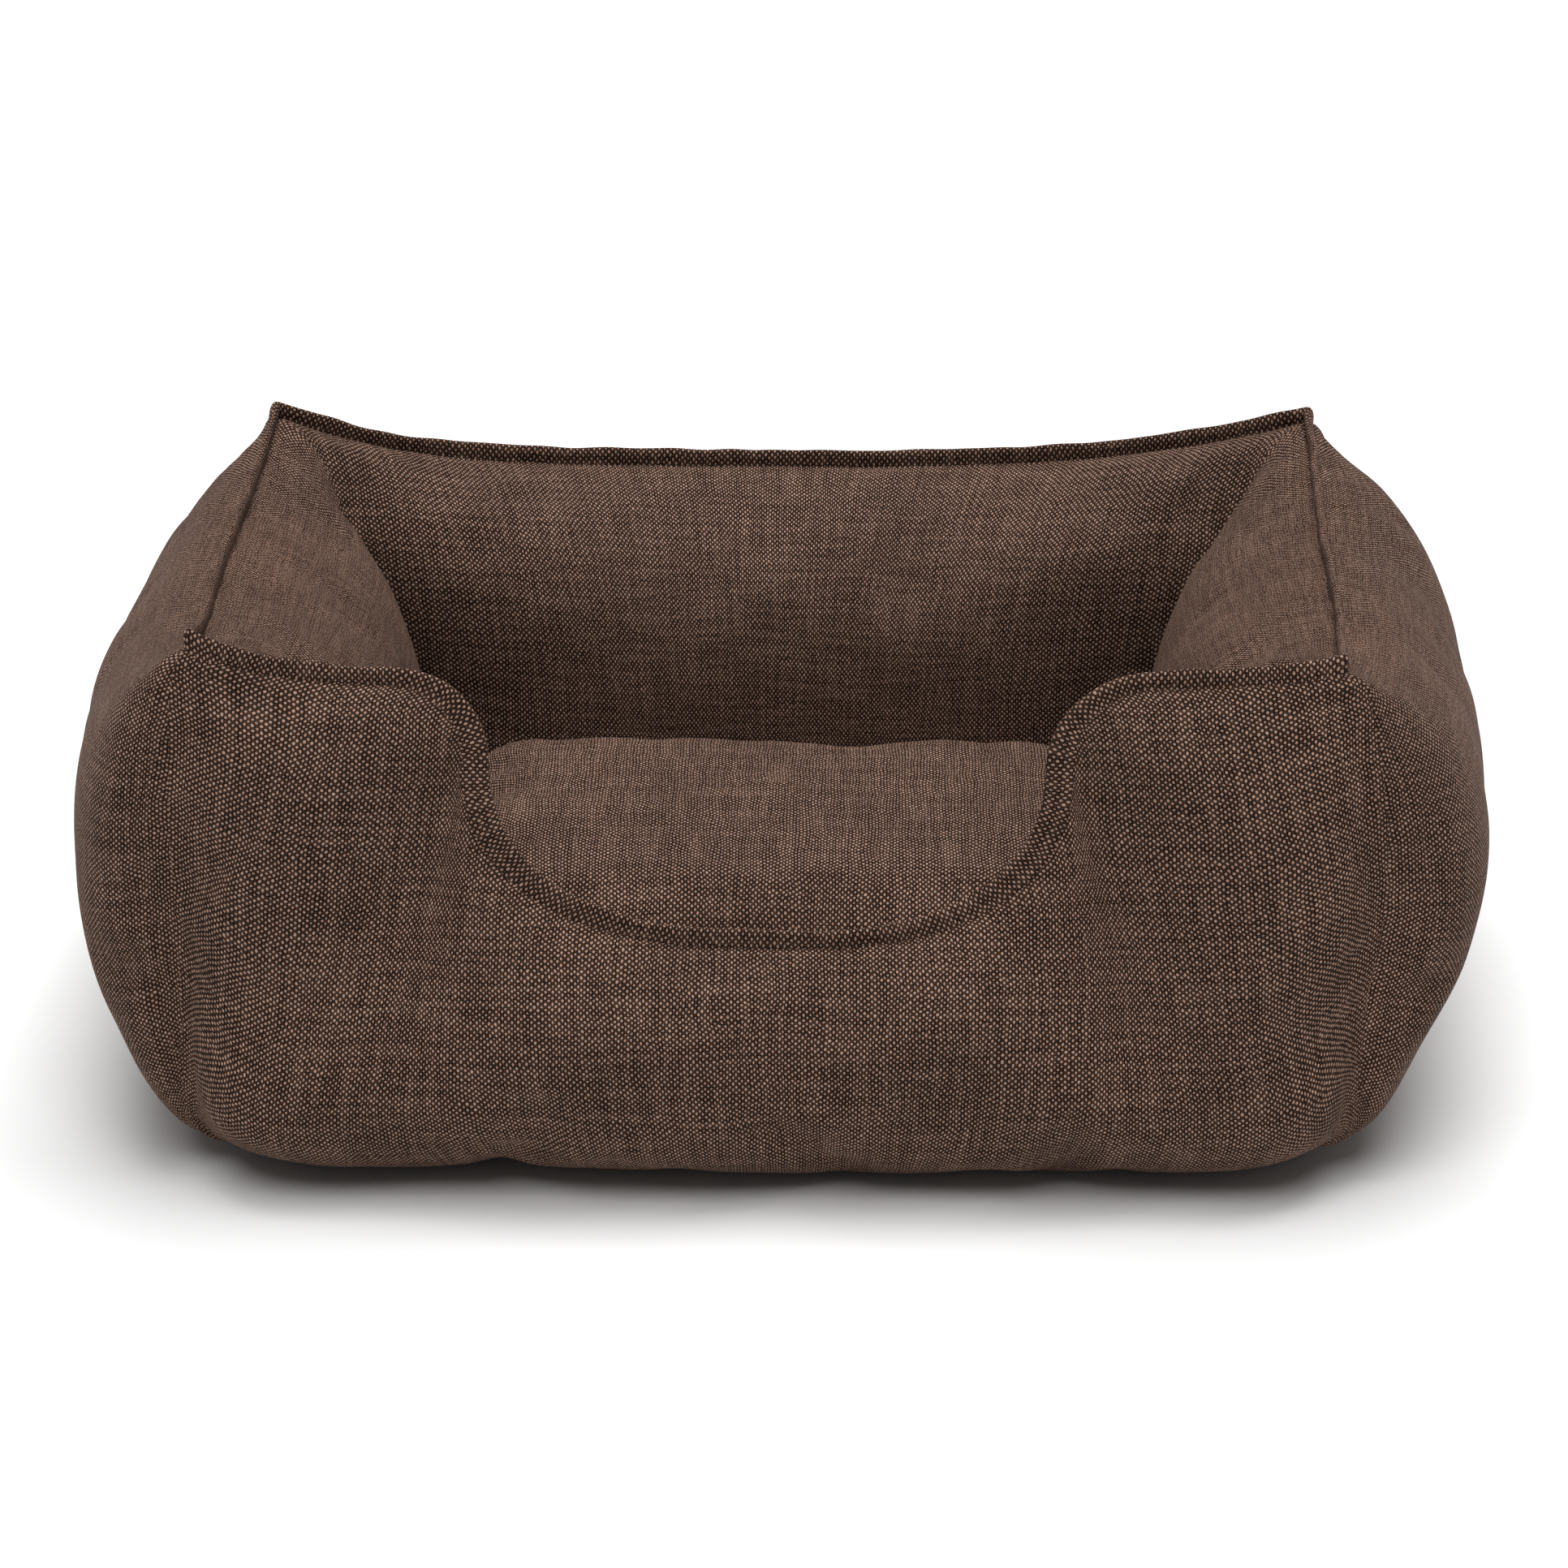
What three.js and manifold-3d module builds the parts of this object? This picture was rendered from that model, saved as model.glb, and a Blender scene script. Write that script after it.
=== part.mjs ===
// A dog bed: four stuffed walls sewn together at the corners around a loose cushion.
// Millimetres, +Z up. The entry faces -Y and the bed stands on Z = 0, centred on the Z axis.
import * as THREE from "three";
import { mergeVertices } from "three/addons/utils/BufferGeometryUtils.js";
import Module from "manifold-3d";

const wasm = await Module();
wasm.setup();

// The top seam is a rectangle seen from above. A point's "offset" is how far it lies outside that
// rectangle.
const SEAM_HALF_WIDTH = 248;
const SEAM_HALF_DEPTH = 167.5;
const CORNER_SEAM_HEIGHT = 240.5;
const CORNER_RISE_POWER = 4.4;

// Where two walls meet, both have this section.
const CORNER = { swell: 6, bellyHeight: 85, reach: -45, base: -7, floor: 11 };
const BASE_OFFSET = -16;
const FILL_FLOOR = 2.6;
const INNER_BELLY_SHARE = 0.5;
const LOWER_SHARE = 0.4;
const SEAM_HALF_THICKNESS = 2.2;

// swell: how far the outer face bulges at its belly. reach: where the upright part of the inner face is.
// flat: the share of the length that keeps the full swell. power: how late the swell dies off beyond it.
// shoulder: how soon the outer face falls off above its belly, where 1 is an ellipse and more is leaner.
// tuck: the same below the belly.
const SIDE_WALL = {
  swell: 70.2,
  bellyHeight: 112,
  seamHeight: 228,
  reach: -82,
  flat: 0,
  power: 3.4,
  shoulder: 0.85,
  tuck: 1.3,
};
const WALLS = {
  front: {
    turn: 0,
    swell: 54.5,
    bellyHeight: 58,
    seamHeight: 230,
    reach: -24,
    flat: 0.6,
    power: 2.2,
    shoulder: 1.25,
    tuck: 1.3,
  },
  right: { turn: 90, ...SIDE_WALL },
  back: {
    turn: 180,
    swell: 46,
    bellyHeight: 58,
    seamHeight: 216.5,
    reach: -88,
    flat: 0.5,
    power: 2.2,
    shoulder: 1.25,
    tuck: 1.3,
  },
  left: { turn: -90, ...SIDE_WALL },
};

// The U cut into the front wall, measured along its seam.
const CUT = {
  halfWidth: 124.5,
  sideTop: 195,
  bottom: 116,
  flatHalf: 14,
  shoulder: 37,
  lean: 17.5,
  easeShare: 0.3,
  easeRise: 1,
};

const CLOTH = 1.4;
const GAP = 0.4;
const FLANGE_LIFT = 0.7;
const FLANGE = { height: 7, thickness: 3.2 };
const WALL_STEPS = { along: 12, up: 9 };
const FRONT_STEPS = 28;
const CORNER_GAP_POWER = 8;

const BASE_SHEET = 1.2;
const BASE_CORNER_RADIUS = 45;
const WADDING = { bottom: 1.6, top: 7 };
const FLOOR_CLOTH = { bottom: 7.4, top: 8.6 };
const FLOOR_CLEARANCE = 3.4;
const FLOOR_STEPS = 16;

const CUSHION = {
  centreY: -35.2,
  halfWidth: 160.5,
  halfDepth: 103.6,
  cornerInset: 8,
  cornerPower: 4,
  seamHeight: 52,
  rise: 64,
  crown: 5,
  drop: 40,
  edge: 1,
  squareness: 14,
  steps: 16,
};

const ZIP = {
  halfLength: 130,
  tapeHeight: 22,
  tape: 0.5,
  clearance: 0.3,
  coilHeight: 5.4,
  coil: 1.2,
  coilEnd: 1,
  stop: 3.4,
  stopEnd: 0.5,
  stopExtra: 1,
  sliderLength: 11,
  sliderHeight: 8.4,
  sliderPlate: 1.4,
  postHeight: 1.2,
  postWidth: 1.6,
  postInset: 0.4,
  postAbovePin: 0.3,
  postRoot: 0.2,
  pinRadius: 0.55,
  pinAbove: 1.45,
  barrelRadius: 1.15,
  barrelBore: 0.75,
  barrelHeight: 4.2,
  pullLength: 24,
  pullHeight: 5,
  pull: 0.9,
  pullOverlap: 1,
};
const RIM_ZIP_HEIGHT = 58;

// The sides of a BoxGeometry that face +Y and -Z, in the order of its groups.
const BACK_SIDE = 2;
const UNDER_SIDE = 5;
const CURVE_SEGMENTS = 6;
const PIN_SEGMENTS = 12;

const FINISHES = {
  cloth: { color: 0x56433a, roughness: 0.95, metalness: 0 },
  seam: { color: 0x3c2c25, roughness: 0.95, metalness: 0 },
  filling: { color: 0xe8e4da, roughness: 1, metalness: 0 },
  base: { color: 0x2b2522, roughness: 0.9, metalness: 0 },
  tape: { color: 0x463529, roughness: 0.9, metalness: 0 },
  coil: { color: 0x3c2c25, roughness: 0.5, metalness: 0 },
  metal: { color: 0x8a8378, roughness: 0.4, metalness: 0.9 },
};

function named(name, geometry, finish) {
  const mesh = new THREE.Mesh(geometry, new THREE.MeshStandardMaterial(FINISHES[finish]));
  mesh.name = name;
  return mesh;
}

function mix(from, to, share) {
  return from + (to - from) * share;
}

// Splits the squares on one side of a box along their other diagonal.
function flipDiagonals(box, side) {
  const { start, count } = box.groups[side];
  for (let i = start; i < start + count; i += 6) {
    const first = box.index.getX(i);
    const last = box.index.getX(i + 2);
    const opposite = box.index.getX(i + 4);
    box.index.setX(i + 2, opposite);
    box.index.setX(i + 3, first);
    box.index.setX(i + 5, last);
  }
}

// A finely divided box whose points are moved by place(u, v, w), with each of u, v, w from -1 to 1.
// Opposite sides are split along matching diagonals, so that a thin sheet keeps its thickness between
// points.
function shapedBox(stepsU, stepsV, stepsW, place) {
  const box = new THREE.BoxGeometry(2, 2, 2, stepsU, stepsV, stepsW);
  flipDiagonals(box, BACK_SIDE);
  flipDiagonals(box, UNDER_SIDE);
  box.deleteAttribute("normal");
  box.deleteAttribute("uv");
  const geometry = mergeVertices(box);
  const points = geometry.attributes.position;
  for (let i = 0; i < points.count; i += 1) {
    const moved = place(points.getX(i), points.getY(i), points.getZ(i));
    points.setXYZ(i, moved.x, moved.y, moved.z);
  }
  geometry.computeVertexNormals();
  return geometry;
}

// The share of a wall's full swell at a place along it, from -1 at one corner to 1 at the other.
function swellShare(wall, along) {
  const beyond = Math.max(0, Math.abs(along) - wall.flat) / (1 - wall.flat);
  return 1 - beyond ** wall.power;
}

function halfLength(wall) {
  return wall.turn % 180 === 0 ? SEAM_HALF_WIDTH : SEAM_HALF_DEPTH;
}

function seamDistance(wall) {
  return wall.turn % 180 === 0 ? SEAM_HALF_DEPTH : SEAM_HALF_WIDTH;
}

// The front wall's top seam seen from the front: level, down one side of the U, along its bottom and
// up again.
function frontSeamPath() {
  const { halfWidth, sideTop, bottom, flatHalf, shoulder, easeShare, easeRise } = CUT;
  const top = WALLS.front.seamHeight;
  const shoulderRise = top - sideTop;
  const drop = sideTop - bottom;
  const level = halfWidth + shoulder;
  const ease = mix(SEAM_HALF_WIDTH, level, easeShare);
  const path = new THREE.Path();
  path.moveTo(-SEAM_HALF_WIDTH, CORNER_SEAM_HEIGHT);
  path.quadraticCurveTo(-ease, top + easeRise, -level, top);
  path.absellipse(-level, sideTop, shoulder, shoulderRise, Math.PI / 2, 0, true);
  path.absellipse(-flatHalf, sideTop, halfWidth - flatHalf, drop, Math.PI, 1.5 * Math.PI, false);
  path.lineTo(flatHalf, bottom);
  path.absellipse(flatHalf, sideTop, halfWidth - flatHalf, drop, 1.5 * Math.PI, 2 * Math.PI, false);
  path.absellipse(level, sideTop, shoulder, shoulderRise, Math.PI, Math.PI / 2, true);
  path.quadraticCurveTo(ease, top + easeRise, SEAM_HALF_WIDTH, CORNER_SEAM_HEIGHT);
  return path;
}

const FRONT_SEAM = frontSeamPath();

// Where the top seam is at a place along a wall: its distance along, its offset, its height, and the
// way up from it.
function seamAt(wall, along) {
  if (wall !== WALLS.front) {
    const rise = Math.abs(along) ** CORNER_RISE_POWER;
    const height = mix(wall.seamHeight, CORNER_SEAM_HEIGHT, rise);
    return { along: along * halfLength(wall), offset: 0, height, up: new THREE.Vector2(0, 1) };
  }
  const share = (along + 1) / 2;
  const point = FRONT_SEAM.getPointAt(share);
  const tangent = FRONT_SEAM.getTangentAt(share);
  const depth = Math.max(0, wall.seamHeight - point.y) / (wall.seamHeight - CUT.bottom);
  const atCorner = Math.abs(along) === 1;
  const up = atCorner ? new THREE.Vector2(0, 1) : new THREE.Vector2(-tangent.y, tangent.x);
  return { along: point.x, offset: CUT.lean * depth, height: point.y, up };
}

// The underside of the filling: it lifts a little towards the corners.
function floorAt(wall, along) {
  return mix(CORNER.floor, FILL_FLOOR, swellShare(wall, along));
}

// A point of the outer face, from the base at rise 0 to the top seam at rise 1, as an offset and a height.
function outerFace(wall, along, rise) {
  const seam = seamAt(wall, along);
  const share = swellShare(wall, along);
  const swell = mix(CORNER.swell, wall.swell, share);
  const belly = mix(CORNER.bellyHeight, wall.bellyHeight, share);
  if (rise < LOWER_SHARE) {
    const angle = (rise / LOWER_SHARE) * (Math.PI / 2);
    const base = mix(CORNER.base, BASE_OFFSET, share);
    const height = mix(belly, floorAt(wall, along), Math.cos(angle));
    return new THREE.Vector2(mix(base, swell, Math.sin(angle) ** wall.tuck), height);
  }
  const angle = ((rise - LOWER_SHARE) / (1 - LOWER_SHARE)) * (Math.PI / 2);
  const edge = seam.offset + SEAM_HALF_THICKNESS;
  const offset = mix(edge, swell, Math.max(0, Math.cos(angle)) ** wall.shoulder);
  return new THREE.Vector2(offset, mix(belly, seam.height, Math.sin(angle)));
}

// A point of the inner face: upright beside the cushion, then curving over to the top seam.
function innerFace(wall, along, rise) {
  const seam = seamAt(wall, along);
  const reach = mix(CORNER.reach, wall.reach, swellShare(wall, along));
  const belly = seam.height * INNER_BELLY_SHARE;
  if (rise < LOWER_SHARE) {
    return new THREE.Vector2(reach, mix(floorAt(wall, along), belly, rise / LOWER_SHARE));
  }
  const angle = ((rise - LOWER_SHARE) / (1 - LOWER_SHARE)) * (Math.PI / 2);
  const edge = seam.offset - SEAM_HALF_THICKNESS;
  return new THREE.Vector2(mix(edge, reach, Math.cos(angle)), mix(belly, seam.height, Math.sin(angle)));
}

// Moves a face point away from the filling by a distance, square to the face's own section.
function standOff(face, wall, along, rise, side, distance) {
  const step = 0.004;
  const before = face(wall, along, Math.max(0, rise - step));
  const after = face(wall, along, Math.min(1, rise + step));
  const slope = after.sub(before).normalize();
  const point = face(wall, along, rise);
  return new THREE.Vector2(point.x + side * slope.y * distance, point.y - side * slope.x * distance);
}

// From offset and height to a point of the front wall's own frame. Every other wall is that frame, turned.
function inWall(wall, along, section) {
  const seam = seamAt(wall, along);
  const base = along * halfLength(wall);
  const share = Math.min(1, Math.max(0, section.y / seam.height));
  const cornerGap = (GAP / 2) * Math.sign(along) * Math.abs(along) ** CORNER_GAP_POWER;
  const x = mix(base, seam.along, share) + along * section.x - cornerGap;
  return new THREE.Vector3(x, -(seamDistance(wall) + section.x), section.y);
}

function stepsAlong(wall) {
  return wall === WALLS.front ? FRONT_STEPS : WALL_STEPS.along;
}

function wallFilling(wall) {
  return shapedBox(stepsAlong(wall), 2, WALL_STEPS.up, (along, across, up) => {
    const rise = (up + 1) / 2;
    const inner = innerFace(wall, along, rise);
    const outer = outerFace(wall, along, rise);
    return inWall(wall, along, inner.lerp(outer, (1 - across) / 2));
  });
}

// One cloth panel over one face of the filling. side is 1 outside and -1 inside.
function wallPanel(wall, face, side) {
  return shapedBox(stepsAlong(wall), 1, WALL_STEPS.up, (along, across, up) => {
    const outward = (side * -across + 1) / 2;
    const distance = GAP + CLOTH * outward;
    return inWall(wall, along, standOff(face, wall, along, (up + 1) / 2, side, distance));
  });
}

// The doubled seam allowance that stands on the top seam.
function wallFlange(wall) {
  return shapedBox(stepsAlong(wall), 1, 1, (along, across, up) => {
    const seam = seamAt(wall, along);
    const height = FLANGE_LIFT + (FLANGE.height * (up + 1)) / 2;
    const offset = seam.offset - (across * FLANGE.thickness) / 2;
    const mitre = Math.abs(along) === 1 ? along * (offset - GAP / 2) : 0;
    const x = seam.along + seam.up.x * height + mitre;
    return new THREE.Vector3(x, -(seamDistance(wall) + offset), seam.height + seam.up.y * height);
  });
}

function wallMeshes(name) {
  const wall = WALLS[name];
  const meshes = [
    named(`${name}_wall_filling`, wallFilling(wall), "filling"),
    named(`${name}_outer_panel`, wallPanel(wall, outerFace, 1), "cloth"),
    named(`${name}_inner_panel`, wallPanel(wall, innerFace, -1), "cloth"),
    named(`${name}_top_flange`, wallFlange(wall), "seam"),
  ];
  meshes.forEach((mesh) => {
    mesh.rotation.z = THREE.MathUtils.degToRad(wall.turn);
  });
  return meshes;
}

// The outline left between the four walls' inner faces, drawn once round from above.
function floorShape() {
  const points = [];
  [WALLS.front, WALLS.right, WALLS.back, WALLS.left].forEach((wall) => {
    const turn = THREE.MathUtils.degToRad(wall.turn);
    for (let i = 0; i < FLOOR_STEPS; i += 1) {
      const along = mix(-1, 1, i / FLOOR_STEPS);
      const reach = mix(CORNER.reach, wall.reach, swellShare(wall, along)) - FLOOR_CLEARANCE;
      const x = along * (halfLength(wall) + reach);
      const point = new THREE.Vector2(x, -(seamDistance(wall) + reach));
      points.push(point.rotateAround(new THREE.Vector2(), turn));
    }
  });
  return new THREE.Shape(points);
}

function slab(shape, bottom, top) {
  const settings = { depth: top - bottom, bevelEnabled: false, curveSegments: CURVE_SEGMENTS };
  return new THREE.ExtrudeGeometry(shape, settings).translate(0, 0, bottom);
}

// A rectangle with round corners, centred on the origin.
function roundedRectangle(halfX, halfY, radius) {
  const shape = new THREE.Shape();
  shape.moveTo(radius - halfX, -halfY);
  shape.lineTo(halfX - radius, -halfY);
  shape.absarc(halfX - radius, radius - halfY, radius, -Math.PI / 2, 0, false);
  shape.absarc(halfX - radius, halfY - radius, radius, 0, Math.PI / 2, false);
  shape.absarc(radius - halfX, halfY - radius, radius, Math.PI / 2, Math.PI, false);
  shape.absarc(radius - halfX, radius - halfY, radius, Math.PI, 1.5 * Math.PI, false);
  return shape;
}

function baseMeshes() {
  const inset = BASE_OFFSET - GAP;
  const outline = roundedRectangle(SEAM_HALF_WIDTH + inset, SEAM_HALF_DEPTH + inset, BASE_CORNER_RADIUS);
  return [
    named("base_sheet", slab(outline, 0, BASE_SHEET), "base"),
    named("base_wadding", slab(floorShape(), WADDING.bottom, WADDING.top), "filling"),
    named("inner_floor_cloth", slab(floorShape(), FLOOR_CLOTH.bottom, FLOOR_CLOTH.top), "cloth"),
  ];
}

// Half a boxy pillow, above or below its edge seam, grown on all sides by a distance.
function pillowPoint(u, v, height, crown, grown) {
  const { halfWidth, halfDepth, cornerInset, cornerPower, centreY, squareness } = CUSHION;
  const shoulder = Math.sqrt((1 - Math.abs(u) ** squareness) * (1 - Math.abs(v) ** squareness));
  const x = u * (halfWidth + grown - cornerInset * Math.abs(v) ** cornerPower);
  const y = centreY + v * (halfDepth + grown - cornerInset * Math.abs(u) ** cornerPower);
  const z = shoulder * (height + Math.sign(height) * grown) + crown * (1 - u * u) * (1 - v * v);
  return new THREE.Vector3(x, y, z);
}

function cushionFilling() {
  const { steps, seamHeight, rise, crown, drop, edge } = CUSHION;
  return shapedBox(steps, steps, 2, (u, v, w) => {
    const top = pillowPoint(u, v, rise - 2 * edge, crown, -2 * edge);
    const bottom = pillowPoint(u, v, 2 * edge - drop, 0, -2 * edge);
    top.z += seamHeight + edge;
    bottom.z += seamHeight - edge;
    return bottom.lerp(top, (w + 1) / 2);
  });
}

// One half of the cushion's cover: a shell over the filling, from its edge seam.
// side is 1 on top and -1 below.
function cushionCover(side) {
  const { steps, seamHeight, rise, crown, drop } = CUSHION;
  const height = side > 0 ? rise : -drop;
  return shapedBox(steps, steps, 1, (u, v, w) => {
    const outward = (side * w + 1) / 2;
    const point = pillowPoint(u, v, height, side > 0 ? crown : 0, GAP + CLOTH * outward);
    point.z += seamHeight + (side * GAP) / 2;
    return point;
  });
}

function cushionMeshes() {
  return [
    named("cushion_filling", cushionFilling(), "filling"),
    named("cushion_top_cover", cushionCover(1), "cloth"),
    named("cushion_bottom_cover", cushionCover(-1), "cloth"),
  ];
}

// A flat plate with rounded ends that stands in the XZ plane, its back at y = 0.
function roundedPlate(length, height, thickness) {
  const radius = height / 2;
  const shape = new THREE.Shape();
  shape.moveTo(-length / 2 + radius, -radius);
  shape.lineTo(length / 2 - radius, -radius);
  shape.absarc(length / 2 - radius, 0, radius, -Math.PI / 2, Math.PI / 2, false);
  shape.lineTo(-length / 2 + radius, radius);
  shape.absarc(-length / 2 + radius, 0, radius, Math.PI / 2, 1.5 * Math.PI, false);
  return slab(shape, 0, thickness).rotateX(Math.PI / 2).translate(0, thickness, 0);
}

function toSolid(geometry) {
  const bare = geometry.clone();
  bare.deleteAttribute("normal");
  bare.deleteAttribute("uv");
  const merged = mergeVertices(bare);
  const mesh = new wasm.Mesh({
    numProp: 3,
    vertProperties: new Float32Array(merged.attributes.position.array),
    triVerts: new Uint32Array(merged.index.array),
  });
  return new wasm.Manifold(mesh);
}

function toGeometry(solid) {
  const mesh = solid.getMesh();
  const geometry = new THREE.BufferGeometry();
  geometry.setAttribute("position", new THREE.BufferAttribute(mesh.vertProperties, 3));
  geometry.setIndex(new THREE.BufferAttribute(mesh.triVerts, 1));
  geometry.computeVertexNormals();
  return geometry;
}

function block(length, thickness, height, back) {
  return new THREE.BoxGeometry(length, thickness, height).translate(0, back + thickness / 2, 0);
}

function pin(radius, height) {
  return new THREE.CylinderGeometry(radius, radius, height, PIN_SEGMENTS).rotateX(Math.PI / 2);
}

// The slider: a rounded plate over the coil, with a pin that stands off it between two posts.
function zipSlider() {
  const { sliderLength, sliderHeight, sliderPlate, pinRadius, pinAbove } = ZIP;
  const { postHeight, postWidth, postInset, postAbovePin, postRoot } = ZIP;
  const plate = roundedPlate(sliderLength, sliderHeight, sliderPlate);
  const postCentre = (sliderHeight - postHeight) / 2 - postInset;
  const crossPin = pin(pinRadius, 2 * postCentre).translate(0, sliderPlate + pinAbove, 0);
  let solid = toSolid(plate).add(toSolid(crossPin));
  [-1, 1].forEach((end) => {
    const post = block(postWidth, pinAbove + pinRadius + postAbovePin, postHeight, sliderPlate - postRoot);
    solid = solid.add(toSolid(post.translate(0, 0, end * postCentre)));
  });
  return toGeometry(solid);
}

// The pull tab lies along the zip, and its near end is a barrel that turns on the slider's pin.
function zipPull() {
  const { pullLength, pullHeight, pull, pullOverlap, barrelRadius, barrelBore, barrelHeight } = ZIP;
  const tab = roundedPlate(pullLength, pullHeight, pull).translate(pullLength / 2, -pull / 2, 0);
  const beyond = block(2 * pullHeight, pullHeight, 2 * pullHeight, -pullHeight / 2);
  const trim = beyond.translate(pullOverlap - pullHeight, 0, 0);
  const barrel = toSolid(pin(barrelRadius, barrelHeight));
  const solid = toSolid(tab).subtract(toSolid(trim)).add(barrel);
  return toGeometry(solid.subtract(toSolid(pin(barrelBore, 2 * barrelHeight))));
}

// A zip in its own frame: it runs along X and faces +Y, with the back of its tape at y = 0.
function zipMeshes(name) {
  const { halfLength: half, tapeHeight, tape, clearance, coilHeight, coil, coilEnd } = ZIP;
  const { stop, stopEnd, stopExtra } = ZIP;
  const coilBack = tape + clearance;
  const sliderBack = coilBack + coil + clearance;
  const meshes = [
    named(`${name}_zip_tape`, block(2 * half, tape, tapeHeight, 0), "tape"),
    named(`${name}_zip_coil`, block(2 * (half - stop - coilEnd), coil, coilHeight, coilBack), "coil"),
  ];
  [-1, 1].forEach((end) => {
    const side = end < 0 ? "closed" : "open";
    const piece = block(stop, coil + stopExtra, coilHeight + stopExtra, coilBack);
    const centre = end * (half - stop / 2 - stopEnd);
    meshes.push(named(`${name}_zip_stop_${side}`, piece.translate(centre, 0, 0), "metal"));
  });
  const start = -(half - 2 * stop - ZIP.sliderLength / 2);
  const slider = zipSlider().translate(start, sliderBack, 0);
  const pull = zipPull().translate(start, sliderBack + ZIP.sliderPlate + ZIP.pinAbove, 0);
  meshes.push(named(`${name}_zip_slider`, slider, "metal"));
  meshes.push(named(`${name}_zip_pull`, pull, "metal"));
  return meshes;
}

function rimZip() {
  const group = new THREE.Group();
  group.add(...zipMeshes("rim"));
  group.position.set(0, SEAM_HALF_DEPTH + WALLS.back.swell + 2 * GAP + CLOTH, RIM_ZIP_HEIGHT);
  return group;
}

function cushionZip() {
  const group = new THREE.Group();
  const rear = CUSHION.centreY + CUSHION.halfDepth + 2 * GAP + CLOTH;
  group.add(...zipMeshes("cushion"));
  group.position.set(0, rear, CUSHION.seamHeight);
  return group;
}

const bed = new THREE.Group();
bed.add(...baseMeshes());
Object.keys(WALLS).forEach((name) => bed.add(...wallMeshes(name)));
bed.add(rimZip());
bed.add(...cushionMeshes());
bed.add(cushionZip());

export default bed;
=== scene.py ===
import math

import bpy
import numpy as np
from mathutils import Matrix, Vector, noise


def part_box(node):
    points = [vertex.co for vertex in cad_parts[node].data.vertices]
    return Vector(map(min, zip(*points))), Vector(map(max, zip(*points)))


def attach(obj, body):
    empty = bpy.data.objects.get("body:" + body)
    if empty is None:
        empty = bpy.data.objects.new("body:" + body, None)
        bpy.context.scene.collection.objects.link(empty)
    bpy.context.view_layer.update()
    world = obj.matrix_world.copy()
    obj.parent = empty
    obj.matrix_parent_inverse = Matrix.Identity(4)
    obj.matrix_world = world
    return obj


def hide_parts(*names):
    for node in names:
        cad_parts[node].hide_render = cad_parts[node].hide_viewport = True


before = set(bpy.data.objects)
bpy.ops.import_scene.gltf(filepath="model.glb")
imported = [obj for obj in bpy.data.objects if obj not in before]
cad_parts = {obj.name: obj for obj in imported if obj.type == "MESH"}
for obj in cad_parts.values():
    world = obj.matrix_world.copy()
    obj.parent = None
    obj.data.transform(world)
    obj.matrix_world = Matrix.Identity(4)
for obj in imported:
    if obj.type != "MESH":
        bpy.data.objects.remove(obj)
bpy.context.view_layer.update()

MM = 0.001

# ---- sizes

LIFT = 0.7 * MM  # the flange starts this far above the top seam
FLANGE_HEIGHT = 7 * MM
SEAM_THICKNESS = 4.4 * MM


def span(node, turn):
    """The nearest and farthest that a node lies in the way that a wall faces."""
    low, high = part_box(node)
    way = math.sin(math.radians(turn)), -math.cos(math.radians(turn))
    ends = [low.x * way[0] + low.y * way[1], high.x * way[0] + high.y * way[1]]
    return min(ends), max(ends)


def seam_height(name):
    """The lowest place of a wall's top seam."""
    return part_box(name + "_top_flange")[0].z - LIFT


HALF_X = sum(span("right_top_flange", 90)) / 2
HALF_Y = sum(span("back_top_flange", 180)) / 2
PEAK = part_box("back_top_flange")[1].z - LIFT - FLANGE_HEIGHT
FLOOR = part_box("base_sheet")[1].z

# The four peaks, in order from the front left: they droop by different amounts.
PEAK_DROP = [-6 * MM, 2.5 * MM, 1.5 * MM, 0]
CORNER_SWELL = [17 * MM, 17 * MM, 16 * MM, 12 * MM]
CORNER = dict(belly=85 * MM, reach=-46.8 * MM, base=-12 * MM, floor=10 * MM)
BASE_OFFSET = -14 * MM
VALLEY = 0.06  # how softly two walls meet at a corner, as a share of a wall's half length

# Where the filling has settled: centre, reach and movement, in millimetres.
SETTLED = [
    ((-248, -167, 242), (55, 60, 40), (-4, 0, 0)),
    ((248, -167, 242), (60, 60, 60), (-6, 0, 0)),
    ((300, -50, 60), (90, 200, 60), (-12, 0, 0)),
    ((290, 70, 190), (60, 110, 50), (0, 0, 2)),
    ((-300, -60, 110), (80, 200, 70), (6, 0, 0)),
    ((-290, 70, 190), (60, 110, 50), (5, 0, -1)),
    ((-300, -40, 55), (90, 180, 50), (5, 0, 0)),
    ((-290, -130, 45), (70, 110, 60), (7, 0, 0)),
    ((290, -130, 55), (70, 110, 60), (-10, 0, 0)),
    ((-245, -205, 15), (60, 60, 45), (-17, -4, -3)),
    ((250, -205, 15), (60, 60, 45), (14, -3, -1)),
    ((-300, -25, 175), (60, 80, 45), (-5, 0, 0)),
    ((275, 120, 215), (50, 60, 40), (1, 0, 4)),
]

# U cut of the front wall
CUT = dict(side_top=195 * MM, flat=14 * MM, lean=17.5 * MM)
CUT_LEFT = dict(half=131 * MM, shoulder=35 * MM, squareness=2.25)
CUT_RIGHT = dict(half=123 * MM, shoulder=40 * MM, squareness=2.2)

FILLED_OUT = 2.5 * MM  # how far the simulated filling pushes the outer cloth
FRONT_HIGHER = 2 * MM  # the front wall's seam over the side walls'
FRONT_THINNER = 3 * MM
KNEE = 0.5  # where the inner face starts to lean towards the seam, as a share of the seam's height
LEVEL_FROM = 0.3  # where the front seam's rise to a peak bends, from the peak to the level part
CROWDING = 0.2  # how much closer together the columns are at the corners
SEED_STEPS = (7.3, 3.1, 5.7)
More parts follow.
